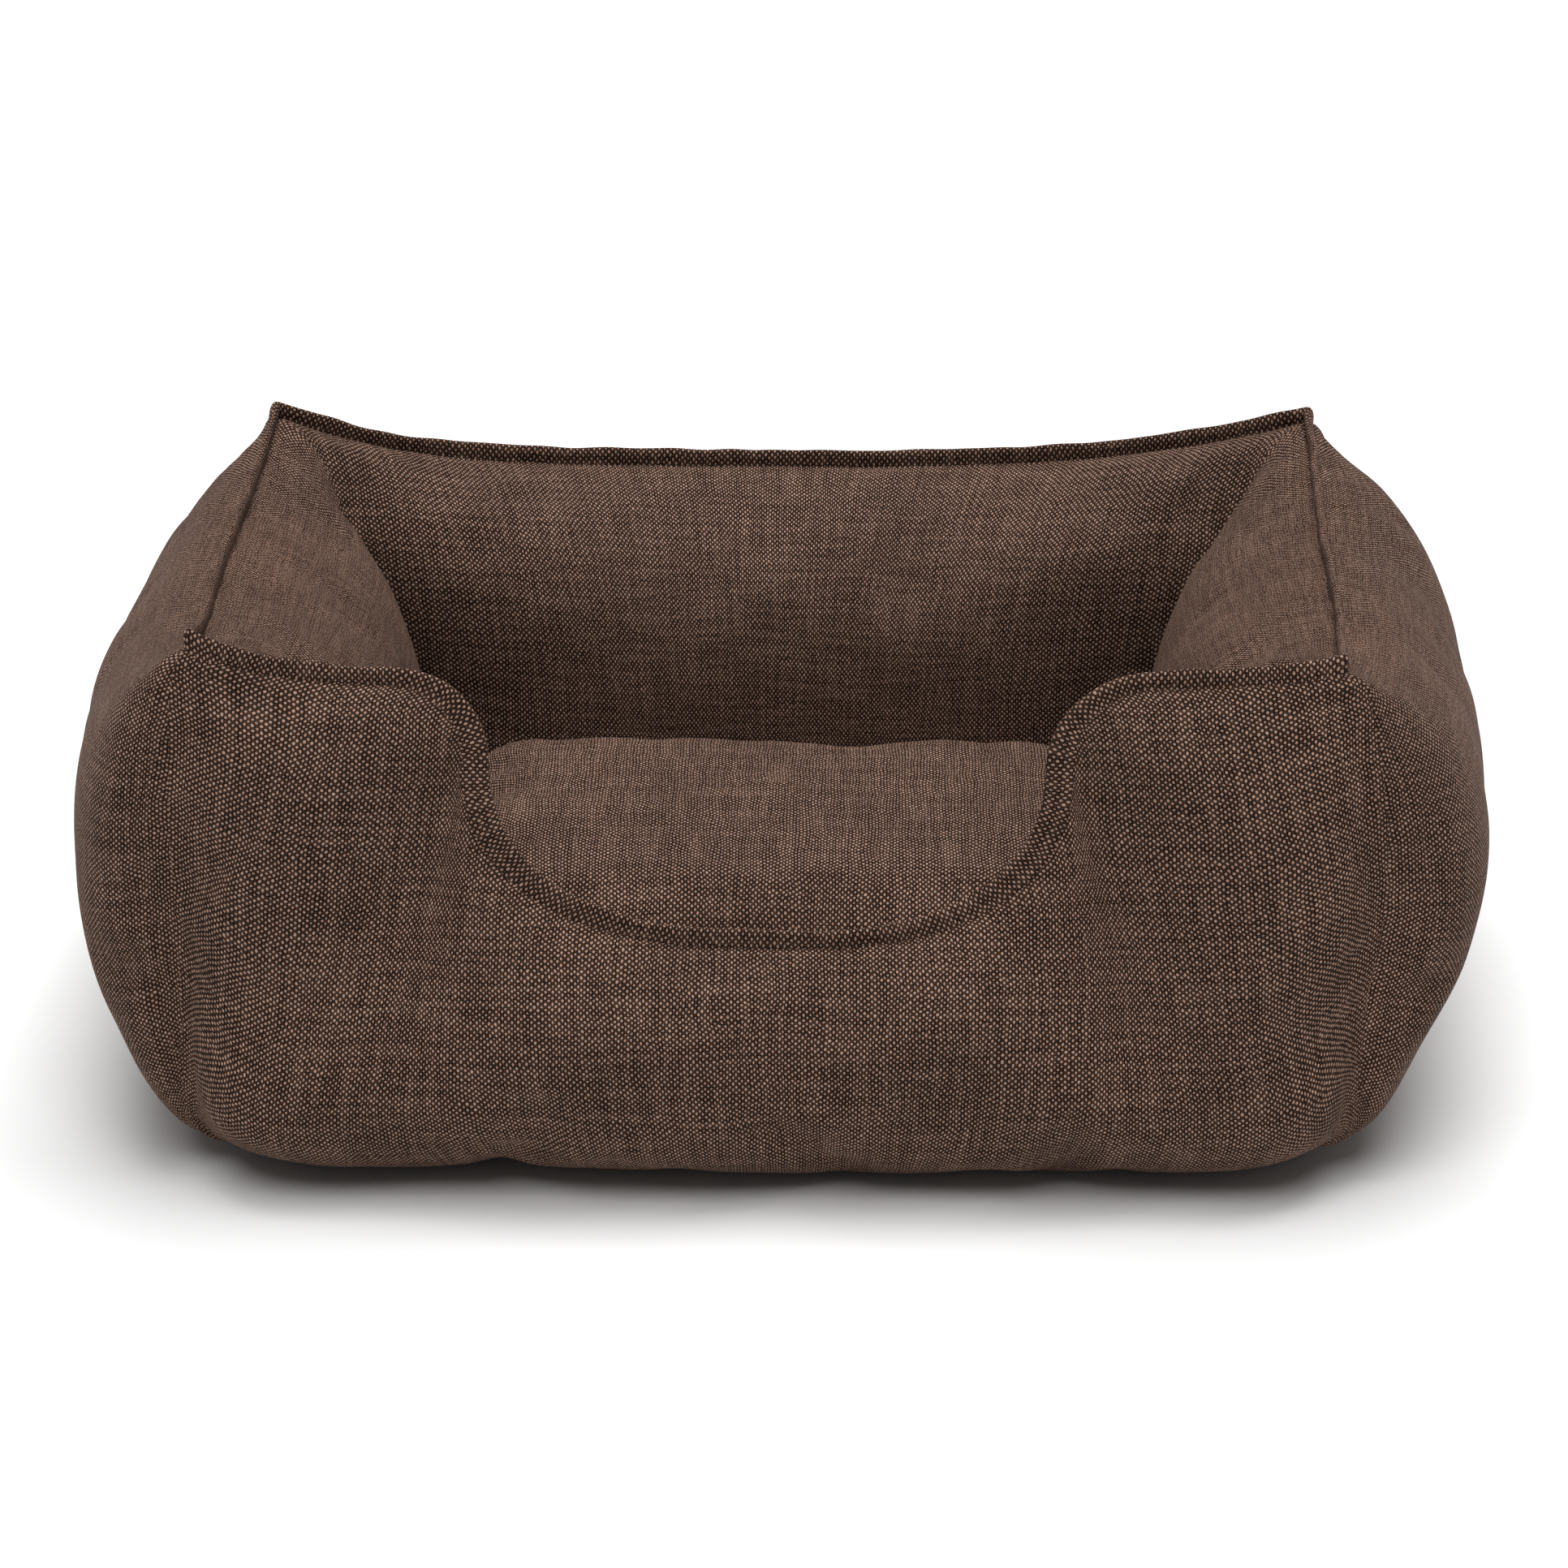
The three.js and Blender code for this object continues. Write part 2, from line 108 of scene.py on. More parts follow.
# Of each wall: the height of its fullest place (belly), the share of its length that is equally full (flat),
# how it thins out beyond (power, and round at its two ends), how full its shoulder is, how it tucks in below,
# how far its seam bows out, and how sharply the seam rises to its two peaks.
WALLS = [
    dict(name="front", turn=0, belly=58 * MM, flat=0.68, power=2.2, round=(1, 1),
         shoulder=1.25, tuck=1.3, bow=0, rise=(4.4, 4.4)),
    dict(name="right", turn=90, belly=108 * MM, flat=0, power=4.2, round=(0.62, 1),
         shoulder=0.85, tuck=1.35, bow=-2 * MM, rise=(4.4, 4.4)),
    dict(name="back", turn=180, belly=58 * MM, flat=0.5, power=2.2, round=(1, 1),
         shoulder=1.25, tuck=1.15, bow=0, rise=(2.8, 4.4)),
    dict(name="left", turn=-90, belly=108 * MM, flat=0, power=4.2, round=(1, 0.62),
         shoulder=0.85, tuck=1.3, bow=6.5 * MM, rise=(4.4, 4.4)),
]
for index, wall in enumerate(WALLS):
    name, turn = wall["name"], wall["turn"]
    side = turn % 180 != 0
    wall["half"] = HALF_Y if side else HALF_X
    wall["distance"] = HALF_X if side else HALF_Y
    wall["swell"] = span(name + "_outer_panel", turn)[1] - wall["distance"] - FILLED_OUT
    wall["reach"] = span(name + "_inner_panel", turn)[0] - wall["distance"]
    wall["top"] = seam_height(name)
    wall["peaks"] = (PEAK - PEAK_DROP[index], PEAK - PEAK_DROP[(index + 1) % 4])
    wall["corners"] = (CORNER_SWELL[index], CORNER_SWELL[(index + 1) % 4])
    wall["columns"] = 56 if side else 76
WALLS[0]["top"] = WALLS[1]["top"] + FRONT_HIGHER
WALLS[0]["swell"] -= FRONT_THINNER
WALLS[2]["swell"] += FILLED_OUT
CUT["bottom"] = seam_height("front")

# rows of points round a wall's section
OUTER = 44
INNER = 34
UNDER = 10
LAST_INNER = OUTER + INNER - 1


def mix(a, b, share):
    return a + (b - a) * share


def running(steps, axis=0):
    """The sums so far of steps along an axis, from 0."""
    total = np.cumsum(steps, axis=axis)
    return np.concatenate([0 * total.take([0], axis), total], axis=axis)


def run_along(path):
    """The length of a path up to each of its points."""
    return running(np.linalg.norm(np.diff(path, axis=0), axis=1))


# ---- the shape of the walls


def swell_share(wall, f):
    """1 where a wall is fullest and 0 at its corners, with a soft start there."""
    edge = 1 - np.abs(f)
    edge = np.sqrt(edge ** 2 + VALLEY ** 2) - VALLEY
    beyond = np.clip(1 - edge - wall["flat"], 0, 1) / (1 - wall["flat"])
    return 1 - beyond ** wall["power"]


def ellipse(x, z, rx, rz, start, end, power=2.0):
    """Part of an ellipse, or of a squarer curve where power is over 2."""
    angle = np.radians(np.linspace(start, end, 60))
    c, s = np.cos(angle), np.sin(angle)
    return np.column_stack([
        x + rx * np.sign(c) * np.abs(c) ** (2 / power),
        z + rz * np.sign(s) * np.abs(s) ** (2 / power),
    ])


def front_seam(f):
    """The front wall's top seam at shares f of its length: along and height."""
    wall = WALLS[0]
    top, low, side_top = wall["top"], CUT["bottom"], CUT["side_top"]
    t = np.linspace(0, 1, 40)[:, None]

    def half(peak, cut):
        level = cut["half"] + cut["shoulder"]
        a = np.array([-HALF_X, peak])
        b = np.array([-mix(HALF_X, level, LEVEL_FROM), top + MM])
        c = np.array([-level, top])
        round_half = cut["half"] - CUT["flat"]
        return np.vstack([
            (1 - t) ** 2 * a + 2 * t * (1 - t) * b + t * t * c,
            ellipse(-level, side_top, cut["shoulder"], top - side_top, 90, 0)[1:],
            ellipse(-CUT["flat"], side_top, round_half, side_top - low, 180, 270, cut["squareness"])[1:],
        ])

    left = half(wall["peaks"][0], CUT_LEFT)
    right = half(wall["peaks"][1], CUT_RIGHT) * [-1, 1]
    path = np.vstack([left, right[::-1]])
    length = run_along(path)
    at = (f + 1) / 2 * length[-1]
    return np.interp(at, length, path[:, 0]), np.interp(at, length, path[:, 1])


def seam_of(wall, f):
    """Along, offset and height of a wall's top seam at shares f of its length."""
    if wall["name"] == "front":
        along, height = front_seam(f)
        depth = np.clip((wall["top"] - height) / (wall["top"] - CUT["bottom"]), 0, 1)
        return along, CUT["lean"] * depth, height
    ends = np.where(f < 0, wall["peaks"][0], wall["peaks"][1])
    power = np.where(f < 0, wall["rise"][0], wall["rise"][1])
    height = mix(wall["top"], ends, np.abs(f) ** power)
    return f * wall["half"], wall["bow"] * (1 - f * f), height


def evenly(d, z, count):
    """Points spaced evenly along each column's section."""
    out = np.zeros((len(d), count, 2))
    for i in range(len(d)):
        length = running(np.hypot(np.diff(d[i]), np.diff(z[i])))
        at = np.linspace(0, length[-1], count)
        out[i, :, 0] = np.interp(at, length, d[i])
        out[i, :, 1] = np.interp(at, length, z[i])
    return out


def sections(wall, f):
    """Offset and height of every row of every column: up the outer face, down the inner face, underneath."""
    _, offset, top = (a[:, None] for a in seam_of(wall, f))
    share = swell_share(wall, f)[:, None]
    corner = np.where(f < 0, wall["corners"][0], wall["corners"][1])[:, None]
    rounding = np.where(f < 0, wall["round"][0], wall["round"][1])[:, None]
    swell = mix(corner, wall["swell"], share ** rounding)
    belly = mix(CORNER["belly"], wall["belly"], share)
    base = mix(CORNER["base"], BASE_OFFSET, share)
    floor = mix(CORNER["floor"], FLOOR + MM, share)
    reach = mix(CORNER["reach"], wall["reach"], share)
    lower = np.linspace(0, math.pi / 2, 60)[None, :]
    upper = np.linspace(0, math.pi / 2, 90)[None, :]
    d = np.hstack([
        mix(base, swell, np.sin(lower) ** wall["tuck"]),
        mix(offset + SEAM_THICKNESS / 2, swell,
            np.clip(np.cos(upper), 0, 1) ** mix(wall["shoulder"] * rounding, wall["shoulder"], share)),
    ])
    z = np.hstack([mix(belly, floor, np.cos(lower)), mix(belly, top, np.sin(upper))])
    outer = evenly(d, z, OUTER)
    knee = top * KNEE
    d = np.hstack([reach + 0 * lower, mix(offset - SEAM_THICKNESS / 2, reach, np.cos(upper))])
    z = np.hstack([mix(floor, knee, lower / (math.pi / 2)), mix(knee, top, np.sin(upper))])
    inner = evenly(d, z, INNER)[:, ::-1]
    t = np.linspace(0, 1, UNDER + 2)[None, 1:-1, None]
    under = mix(inner[:, -1:], outer[:, :1], t)
    return np.concatenate([outer, inner, under], axis=1)


def roundness(gap, reach, power):
    """How full a padded wall is, from 0 to 1, at a distance from its seam."""
    return np.clip(1 - (1 - np.clip(gap / reach, 0, 1)) ** 2, 1e-6, 1) ** power


def thinned(wall, x, d, z, offset, top):
    """The front wall thins towards the sides of its U as well as towards the seam above."""
    path = np.stack(front_seam(np.linspace(-1, 1, 500)), axis=-1)
    gap = np.min(np.hypot(x[..., None] - path[:, 0], z[..., None] - path[:, 1]), axis=-1)
    drop = np.clip(top - z, 0.1 * MM, None)
    outer = np.arange(d.shape[1])[None, :] < OUTER
    reach = np.where(outer, top - wall["belly"], KNEE * top)
    power = np.where(outer, wall["shoulder"] / 2, 0.5)
    ratio = np.clip(roundness(gap, reach, power) / roundness(drop, reach, power), 0, 1)
    return offset + (d - offset) * ratio


def in_wall(wall, f, section):
    """From offset and height to points of the bed."""
    along, offset, top = (a[:, None] for a in seam_of(wall, f))
    d, z = section[..., 0], section[..., 1]
    share = np.clip(z / top, 0, 1)
    x = mix(f[:, None] * wall["half"], along, share)
    if wall["name"] == "front":
        d = thinned(wall, x, d, z, offset, top)
    x = x + f[:, None] * d
    return turned(np.stack([x, -(wall["distance"] + d), z], axis=-1), wall["turn"])


def turned(points, turn):
    """Points turned about the vertical by whole quarter turns, given in degrees."""
    angle = math.radians(turn)
    c, s = round(math.cos(angle)), round(math.sin(angle))
    x, y = points[..., 0], points[..., 1]
    return np.stack([x * c - y * s, x * s + y * c, points[..., 2]], axis=-1)


def settle(points):
    """Moves points by where the filling has settled."""
    flat = points.reshape(-1, 3)
    moved = flat.copy()
    for centre, reach, move in SETTLED:
        away = (flat / MM - centre) / reach
        moved += np.exp(-(away ** 2).sum(axis=1))[:, None] * np.array(move) * MM
    return moved.reshape(points.shape)


def shares(count):
    """Places along a wall, closer together near its corners."""
    t = np.linspace(-1, 1, count + 1)
    return (1 + CROWDING) * t - CROWDING * t ** 3


# ---- meshes


def make(name, points, faces, uv=None, smooth=True):
    """An object with a mesh of points and faces, and places on the cloth for the corners of its faces."""
    mesh = bpy.data.meshes.new(name)
    faces = faces.tolist() if isinstance(faces, np.ndarray) else faces
    mesh.from_pydata(np.asarray(points, float).reshape(-1, 3).tolist(), [], faces)
    if uv is not None:
        mesh.uv_layers.new(name="Cloth").data.foreach_set("uv", np.asarray(uv, np.float32).ravel())
    if smooth:
        mesh.polygons.foreach_set("use_smooth", [True] * len(mesh.polygons))
    piece = bpy.data.objects.new(name, mesh)
    bpy.context.scene.collection.objects.link(piece)
    return piece


def grid_faces(columns, rows, closed_columns=False, closed_rows=False):
    """Quads of a grid of points stored column by column, as indices of their corners."""
    c, r = np.meshgrid(
        np.arange(columns if closed_columns else columns - 1),
        np.arange(rows if closed_rows else rows - 1),
        indexing="ij",
    )
    c, r = c.ravel(), r.ravel()
    d, s = (c + 1) % columns, (r + 1) % rows
    return np.column_stack([c * rows + r, d * rows + r, d * rows + s, c * rows + s])


def sewn_edges(name, over, below, cloth_over, cloth_below):
    """Two grids of points joined at their edges, given with their places on the cloth."""
    points = over.reshape(-1, 3).tolist()
    index_over = np.arange(len(points)).reshape(over.shape[:2])
    index_below = index_over.copy()
    inner = below[1:-1, 1:-1].reshape(-1, 3).tolist()
    index_below[1:-1, 1:-1].flat = len(points) + np.arange(len(inner))
    quads, uvs = [], []
    for index, order, place in ((index_over, 1, cloth_over), (index_below, -1, cloth_below)):
        for i in range(index.shape[0] - 1):
            for j in range(index.shape[1] - 1):
                corners = [(i, j), (i + 1, j), (i + 1, j + 1), (i, j + 1)][::order]
                quads.append([int(index[c]) for c in corners])
                uvs.append([place[c] for c in corners])
    return make(name, points + inner, quads, uvs), index_over, index_below


def capped(rings, sides, order, forward, first=0):
    """The faces of a strip of closed rings of points: quads with their corners in an order, and two ends."""
    quads = (grid_faces(rings, sides, False, True)[:, order] + first).tolist()
    start = [first + side for side in range(sides)]
    end = [first + (rings - 1) * sides + side for side in range(sides)]
    return quads + ([start, end[::-1]] if forward else [start[::-1], end])


def subdivide(piece):
    smooth = piece.modifiers.new("Smooth", "SUBSURF")
    smooth.levels = smooth.render_levels = 1


def coordinates(mesh):
    flat = np.zeros(len(mesh.vertices) * 3, np.float32)
    mesh.vertices.foreach_get("co", flat)
    return flat.reshape(-1, 3).astype(float)


def set_coordinates(piece, points):
    piece.data.vertices.foreach_set("co", np.asarray(points, np.float32).ravel())
    piece.data.update()


def lumps(points, scale, amount, seed):
    """Smooth uneven distances for a list of points."""
    shift = Vector([seed * step for step in SEED_STEPS])
    return np.array([noise.noise(Vector(p) * scale + shift) for p in points]) * amount


STIFFNESS = 18.0
SPARE_CLOTH = 0.02
SWELL_FRAMES = 20


def swell_cloth(piece, pinned, cap, pressure):
    """Blows the cloth of a piece out from inside by a cloth simulation and keeps the result.
    pinned is how firmly each point is held, from 0 to 1, and cap the farthest that it may move."""
    before = coordinates(piece.data)
    group = piece.vertex_groups.new(name="sewn")
    for level in np.unique(np.round(pinned, 2)):
        if level > 0:
            members = np.nonzero(np.round(pinned, 2) == level)[0].tolist()
            group.add(members, float(level), "REPLACE")
    cloth = piece.modifiers.new("Cloth", "CLOTH")
    settings = cloth.settings
    settings.quality = 5
    settings.mass = 0.3
    settings.tension_stiffness = settings.compression_stiffness = STIFFNESS
    settings.shear_stiffness = STIFFNESS / 3
    settings.bending_stiffness = 0.6
    settings.use_pressure = True
    settings.uniform_pressure_force = pressure
    settings.shrink_min = -SPARE_CLOTH
    settings.vertex_group_mass = "sewn"
    settings.effector_weights.gravity = 0
    cloth.collision_settings.use_collision = False
    cloth.point_cache.frame_start = 1
    cloth.point_cache.frame_end = SWELL_FRAMES
    scene = bpy.context.scene
    for frame_number in range(1, SWELL_FRAMES + 1):
        scene.frame_set(frame_number)
    evaluated = piece.evaluated_get(bpy.context.evaluated_depsgraph_get())
    after = coordinates(evaluated.data)
    piece.modifiers.remove(cloth)
    piece.vertex_groups.remove(group)
    scene.frame_set(1)
    move = after - before
    size = np.maximum(np.linalg.norm(move, axis=1), 1e-9)
    cap = np.maximum(cap, 1e-9)
    set_coordinates(piece, before + move * (cap * np.tanh(size / cap) / size)[:, None])


def finish_piece(piece, body, finish, nodes=()):
    """Gives a piece its material and body, and hides the nodes that it stands for."""
    piece.data.materials.clear()
    piece.data.materials.append(finish)
    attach(piece, body)
    if nodes:
        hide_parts(*nodes)
    return piece


# ---- materials


class Nodes:
    """A short way to write a node material."""

    def __init__(self, name):
        self.material = bpy.data.materials.new(name)
        self.material.use_nodes = True
        self.tree = self.material.node_tree
        self.shader = self.tree.nodes["Principled BSDF"]

    def put(self, kind, values=(), **settings):
        node = self.tree.nodes.new("ShaderNode" + kind)
        for key, value in settings.items():
            setattr(node, key, value)
        for key, value in dict(values).items():
            if isinstance(value, bpy.types.NodeSocket):
                self.tree.links.new(value, node.inputs[key])
            else:
                node.inputs[key].default_value = value
        return node

    def math(self, operation, a, b=0.0, clamp=False):
        return self.put("Math", {0: a, 1: b}, operation=operation, use_clamp=clamp).outputs[0]

    def noise(self, vector, scale, detail=2.0, roughness=0.5):
        values = {"Vector": vector, "Scale": scale, "Detail": detail, "Roughness": roughness}
        return self.put("TexNoise", values).outputs["Fac"]

    def ramp(self, value, low, high, to_low=0.0, to_high=1.0):
        values = {"Value": value, "From Min": low, "From Max": high, "To Min": to_low, "To Max": to_high}
        return self.put("MapRange", values, interpolation_type="SMOOTHSTEP").outputs[0]

    def blend(self, share, a, b, kind="MIX"):
        node = self.tree.nodes.new("ShaderNodeMix")
        node.data_type = "RGBA"
        node.blend_type = kind
        for key, value in (("Factor", share), ("A", a), ("B", b)):
            socket = [s for s in node.inputs if s.name == key and s.enabled][0]
            if isinstance(value, bpy.types.NodeSocket):
                self.tree.links.new(value, socket)
            else:
                socket.default_value = value
        return [s for s in node.outputs if s.enabled][0]

    def scaled(self, vector, scale):
        return self.put("Mapping", {"Vector": vector, "Scale": scale}).outputs[0]

    def bump(self, height, distance, strength):
        values = {"Height": height, "Distance": distance, "Strength": strength}
        return self.put("Bump", values).outputs["Normal"]

    def link(self, socket, name):
        self.tree.links.new(socket, self.shader.inputs[name])

    def set(self, **values):
        for key, value in values.items():
            self.shader.inputs[key.replace("_", " ")].default_value = value


OVAL = 0.2  # how much taller than wide the light crossings are
SLUB = 0.17  # how much the yarn's thickness varies
WANDER = dict(scale=60.0, far=(3 * MM, 3 * MM, 0))  # threads that run a little crooked
JOSTLE = dict(scale=420.0, far=(0.6 * MM, 1.1 * MM, 0))  # crossings out of line with their neighbours
SLUB_LONG = (22, 26)  # how many slubs to a metre of the threads that run across and up


def weave_material(name, yarn, light, under, gap, thread):
    """A coarse plain weave of slubby yarn: light yarn crossing on top, darker yarn and shadow between."""
    n = Nodes(name)
    place = n.put("UVMap", uv_map="Cloth").outputs[0]
    moved = place
    for uneven in (WANDER, JOSTLE):
        cells = n.put("TexNoise", {"Vector": place, "Scale": uneven["scale"], "Detail": 1.0}).outputs["Color"]
        shift = n.put("VectorMath", {0: cells, 1: uneven["far"]}, operation="MULTIPLY").outputs[0]
        moved = n.put("VectorMath", {0: moved, 1: shift}, operation="ADD").outputs[0]
    split = n.put("SeparateXYZ", {0: moved})
    across = n.math("SINE", n.math("MULTIPLY", split.outputs[0], math.pi / thread[0]))
    upward = n.math("SINE", n.math("MULTIPLY", split.outputs[1], math.pi / thread[1]))
    cross = n.math("MULTIPLY", across, upward)
    column = n.math("MULTIPLY", n.math("SUBTRACT", n.math("MULTIPLY", across, across), 0.6), 2 * OVAL)

    # slubs: thicker, lighter stretches of single threads
    slub_up = n.noise(n.scaled(place, (1 / thread[0] / 2, SLUB_LONG[1], 1)), 1.0, 1.0)
    slub_across = n.noise(n.scaled(place, (SLUB_LONG[0], 1 / thread[1] / 2, 1)), 1.0, 1.0)
    slub = n.math("MULTIPLY", n.math("ADD", n.ramp(slub_up, 0.3, 0.75), n.ramp(slub_across, 0.3, 0.75)), 0.5)
    fleck = n.noise(place, 520.0, 1.0)
    cloud = n.noise(place, 14.0, 3.0)

    thick = n.math("MULTIPLY", n.math("SUBTRACT", slub, 0.45), SLUB)
    thick = n.math("ADD", thick, n.math("SUBTRACT", fleck, 0.5))
    over = n.ramp(n.math("ADD", n.math("ADD", cross, column), thick), 0.02, 0.55)
    below = n.ramp(n.math("MULTIPLY", cross, -1.0), 0.3, 0.95)

    lightness = n.math("ADD", n.math("MULTIPLY", fleck, 0.75), n.math("MULTIPLY", slub, 0.25))
    tone = n.blend(n.ramp(lightness, 0.2, 0.8), yarn, light)
    # The gap colour is painted shade in the hollows between the threads; under is the darker yarn's own
    # colour.
    ground = n.blend(below, gap, under)
    on_top = n.math("ADD", n.math("MULTIPLY", over, 0.9), n.math("MULTIPLY", slub, 0.08))
    colour = n.blend(on_top, ground, tone)
    shade = n.ramp(cloud, 0.3, 0.7, 0.9, 1.08)
    grey = n.put("CombineXYZ", {0: shade, 1: shade, 2: shade}).outputs[0]
    n.link(n.blend(1.0, colour, grey, "MULTIPLY"), "Base Color")

    height = n.math("ADD", over, n.math("MULTIPLY", below, 0.45))
    height = n.math("ADD", height, n.math("MULTIPLY", slub, 0.3))
    n.link(n.bump(height, 0.45 * MM, 0.7), "Normal")
    n.link(n.ramp(fleck, 0.3, 0.7, 0.86, 0.98), "Roughness")
    n.set(Sheen_Weight=0.06, Sheen_Roughness=0.4, Sheen_Tint=(0.7, 0.5, 0.4, 1), Specular_IOR_Level=0.15)
    return n.material


def tape_material(name, colour, light):
    """A narrow herringbone tape."""
    rib, zigzag = 0.8 * MM, 2.4 * MM
    n = Nodes(name)
    place = n.put("TexCoord").outputs["Object"]
    split = n.put("SeparateXYZ", {0: place})
    slope = n.math("PINGPONG", split.outputs[2], zigzag)
    lines = n.math("SINE", n.math("MULTIPLY", n.math("ADD", split.outputs[0], slope), 2 * math.pi / rib))
    tone = n.math("ADD", n.math("MULTIPLY", lines, 0.35), n.noise(place, 600.0))
    n.link(n.blend(n.ramp(tone, 0.1, 0.9), colour, light), "Base Color")
    n.link(n.bump(lines, 0.2 * MM, 0.6), "Normal")
    n.link(n.ramp(n.noise(place, 300.0), 0.3, 0.7, 0.8, 0.95), "Roughness")
    n.set(Sheen_Weight=0.15, Sheen_Roughness=0.5)
    return n.material


def plastic_material(name, colour, light, roughness=(0.35, 0.5)):
    """A fine-grained plain material, for plastic, rubber and thread."""
    n = Nodes(name)
    place = n.put("TexCoord").outputs["Object"]
    grain = n.noise(place, 900.0, 3.0)
    n.link(n.blend(n.ramp(grain, 0.3, 0.7), colour, light), "Base Color")
    n.link(n.ramp(n.noise(place, 120.0), 0.3, 0.7, *roughness), "Roughness")
    n.link(n.bump(grain, 0.05 * MM, 0.3), "Normal")
    return n.material


def metal_material(name):
    """Dark bronze lacquer, rubbed brighter on its edges."""
    n = Nodes(name)
    place = n.put("TexCoord").outputs["Object"]
    scratch = n.noise(n.scaled(place, (200, 2600, 2600)), 1.0, 4.0)
    edge = n.ramp(n.put("NewGeometry").outputs["Pointiness"], 0.52, 0.62)
    worn = n.math("MAXIMUM", edge, n.ramp(scratch, 0.62, 0.75))
    n.link(n.blend(worn, (0.085, 0.065, 0.05, 1), (0.34, 0.27, 0.2, 1)), "Base Color")
    n.link(n.ramp(scratch, 0.3, 0.7, 0.28, 0.45), "Roughness")
    n.link(n.bump(scratch, 0.03 * MM, 0.3), "Normal")
    n.set(Metallic=0.9)
    return n.material


CLOTH = weave_material(
    "brown_plain_weave",
    yarn=(0.298, 0.17, 0.12, 1),
    light=(0.47, 0.295, 0.217, 1),
    under=(0.04, 0.017, 0.010, 1),
    # gap: painted shade between the threads
    gap=(0.004, 0.0015, 0.001, 1),
    thread=(1.4 * MM, 1.3 * MM),
)
# Near-black thread for the stitching at the flange's base: real stitches, whose dark colour also paints the
# crease shadow there.
STITCH_AND_CREASE_SHADE = plastic_material(
    "dark_thread_and_crease_shade", (0.03, 0.017, 0.012, 1), (0.055, 0.032, 0.024, 1), (0.7, 0.85))

# ---- the stuffed rim


def rim_grid():
    """Points of the rim, column by column once round, with where each wall starts."""
    points, starts = [], []
    for wall in WALLS:
        f = shares(wall["columns"])
        grid = in_wall(wall, f, sections(wall, f))
        starts.append(sum(len(p) for p in points))
        points.append(grid[:-1])
    return settle(np.concatenate(points)), starts


# how much of the cloth's slant at the corners is taken up by easing it in
COLUMN_EASE = 0.85
ROW_EASE = 0.6
WALL_CLOTH_STEP = 0.37  # each wall's cloth is cut from another part of the roll


def eased_rows(wall, length, climb):
    """How much to lengthen each column of cloth so that its threads hardly slant towards the corners."""
    f = shares(wall["columns"])
    spare = length - climb
    at = np.array([np.argmin(np.abs(f - side * wall["flat"])) for side in np.where(f < 0, -1, 1)])
    beyond = np.abs(f) > wall["flat"]
    return (1 + COLUMN_EASE * np.where(beyond, spare[at] - spare, 0) / length)[:, None]


def cloth_uv(points, starts):
    """Where each face's corners lie on the flat cloth: along from a wall's middle, and up from its base."""
    total, rows = points.shape[:2]
    uv = np.zeros((total, rows, 4, 2))
    for index, wall in enumerate(WALLS):
        first, count = starts[index], wall["columns"]
        local = turned(points[np.arange(first, first + count + 1) % total], -wall["turn"])
        step = np.diff(local, axis=0)
        along = running(np.hypot(step[..., 0], step[..., 1]))
        along -= along[count // 2]
        for half in (along[: count // 2], along[count // 2 + 1 :]):
            longest = np.abs(half).max(axis=1, keepdims=True)
            half *= mix(1, longest / np.abs(half), ROW_EASE)
        step = np.diff(local, axis=1)
        rise = np.hypot(step[..., 1], step[..., 2])
        start, end = np.zeros((count + 1, rows)), np.zeros((count + 1, rows))
        climb = running(rise[:, : OUTER - 1], 1)
        climb *= eased_rows(wall, climb[:, -1], local[:, OUTER - 1, 2] - local[:, 0, 2])
        start[:, :OUTER] = climb
        end[:, : OUTER - 1] = climb[:, 1:]
        end[:, OUTER - 1] = climb[:, -1] + SEAM_THICKNESS
        height = running(rise[:, OUTER:LAST_INNER][:, ::-1], 1)[:, ::-1]
        height = height * eased_rows(wall, height[:, 0], local[:, OUTER, 2] - local[:, LAST_INNER, 2])
        start[:, OUTER : LAST_INNER + 1] = height
        end[:, OUTER:LAST_INNER] = height[:, 1:]
        pitch = np.linalg.norm(local[:, 0] - local[:, LAST_INNER], axis=-1) / (UNDER + 1)
        for k in range(UNDER + 1):
            start[:, LAST_INNER + k] = -pitch * k
            end[:, LAST_INNER + k] = -pitch * (k + 1)
        over = np.roll(along, -1, axis=1)
        shift = WALL_CLOTH_STEP * index
        block = uv[first : first + count]
        block[:, :, 0] = np.stack([along[:-1] + shift, start[:-1]], axis=-1)
        block[:, :, 1] = np.stack([along[1:] + shift, start[1:]], axis=-1)
        block[:, :, 2] = np.stack([over[1:] + shift, end[1:]], axis=-1)
        block[:, :, 3] = np.stack([over[:-1] + shift, end[:-1]], axis=-1)
    return uv


rim_points, rim_starts = rim_grid()
COLUMNS, LOOP = rim_points.shape[:2]
rim_faces = grid_faces(COLUMNS, LOOP, True, True)
rim = make("rim_cover", rim_points, rim_faces, cloth_uv(rim_points, rim_starts))

# how far each row may move: nothing at the seam and underneath, little beside the cushion
PUFF = 4.5 * MM
CUSHION_TOP = 0.45  # the cushion reaches this share of the inner face
ABOVE_CUSHION = 0.25  # and above it the face is free within this share
BESIDE_CUSHION = 0.05  # how free the face is beside the cushion
row = np.arange(LOOP)
outer_share = np.clip(row / (OUTER - 1), 0, 1)
inner_share = np.clip((LAST_INNER - row) / (INNER - 1), 0, 1)
on_outer = row < OUTER
on_inner = (row >= OUTER) & (row <= LAST_INNER)
beside = np.clip((inner_share - CUSHION_TOP) / ABOVE_CUSHION, BESIDE_CUSHION, 1)
free = np.where(on_outer, np.sin(math.pi * outer_share) ** 0.5, 0)
free = np.where(on_inner, beside * np.sin(math.pi * inner_share) ** 0.5, free)
cap = np.tile(free * PUFF, (COLUMNS, 1))
pinned = np.tile(np.where(on_outer | on_inner, 0.0, 1.0), (COLUMNS, 1))
pinned[:, [0, OUTER - 1, OUTER, LAST_INNER]] = 1
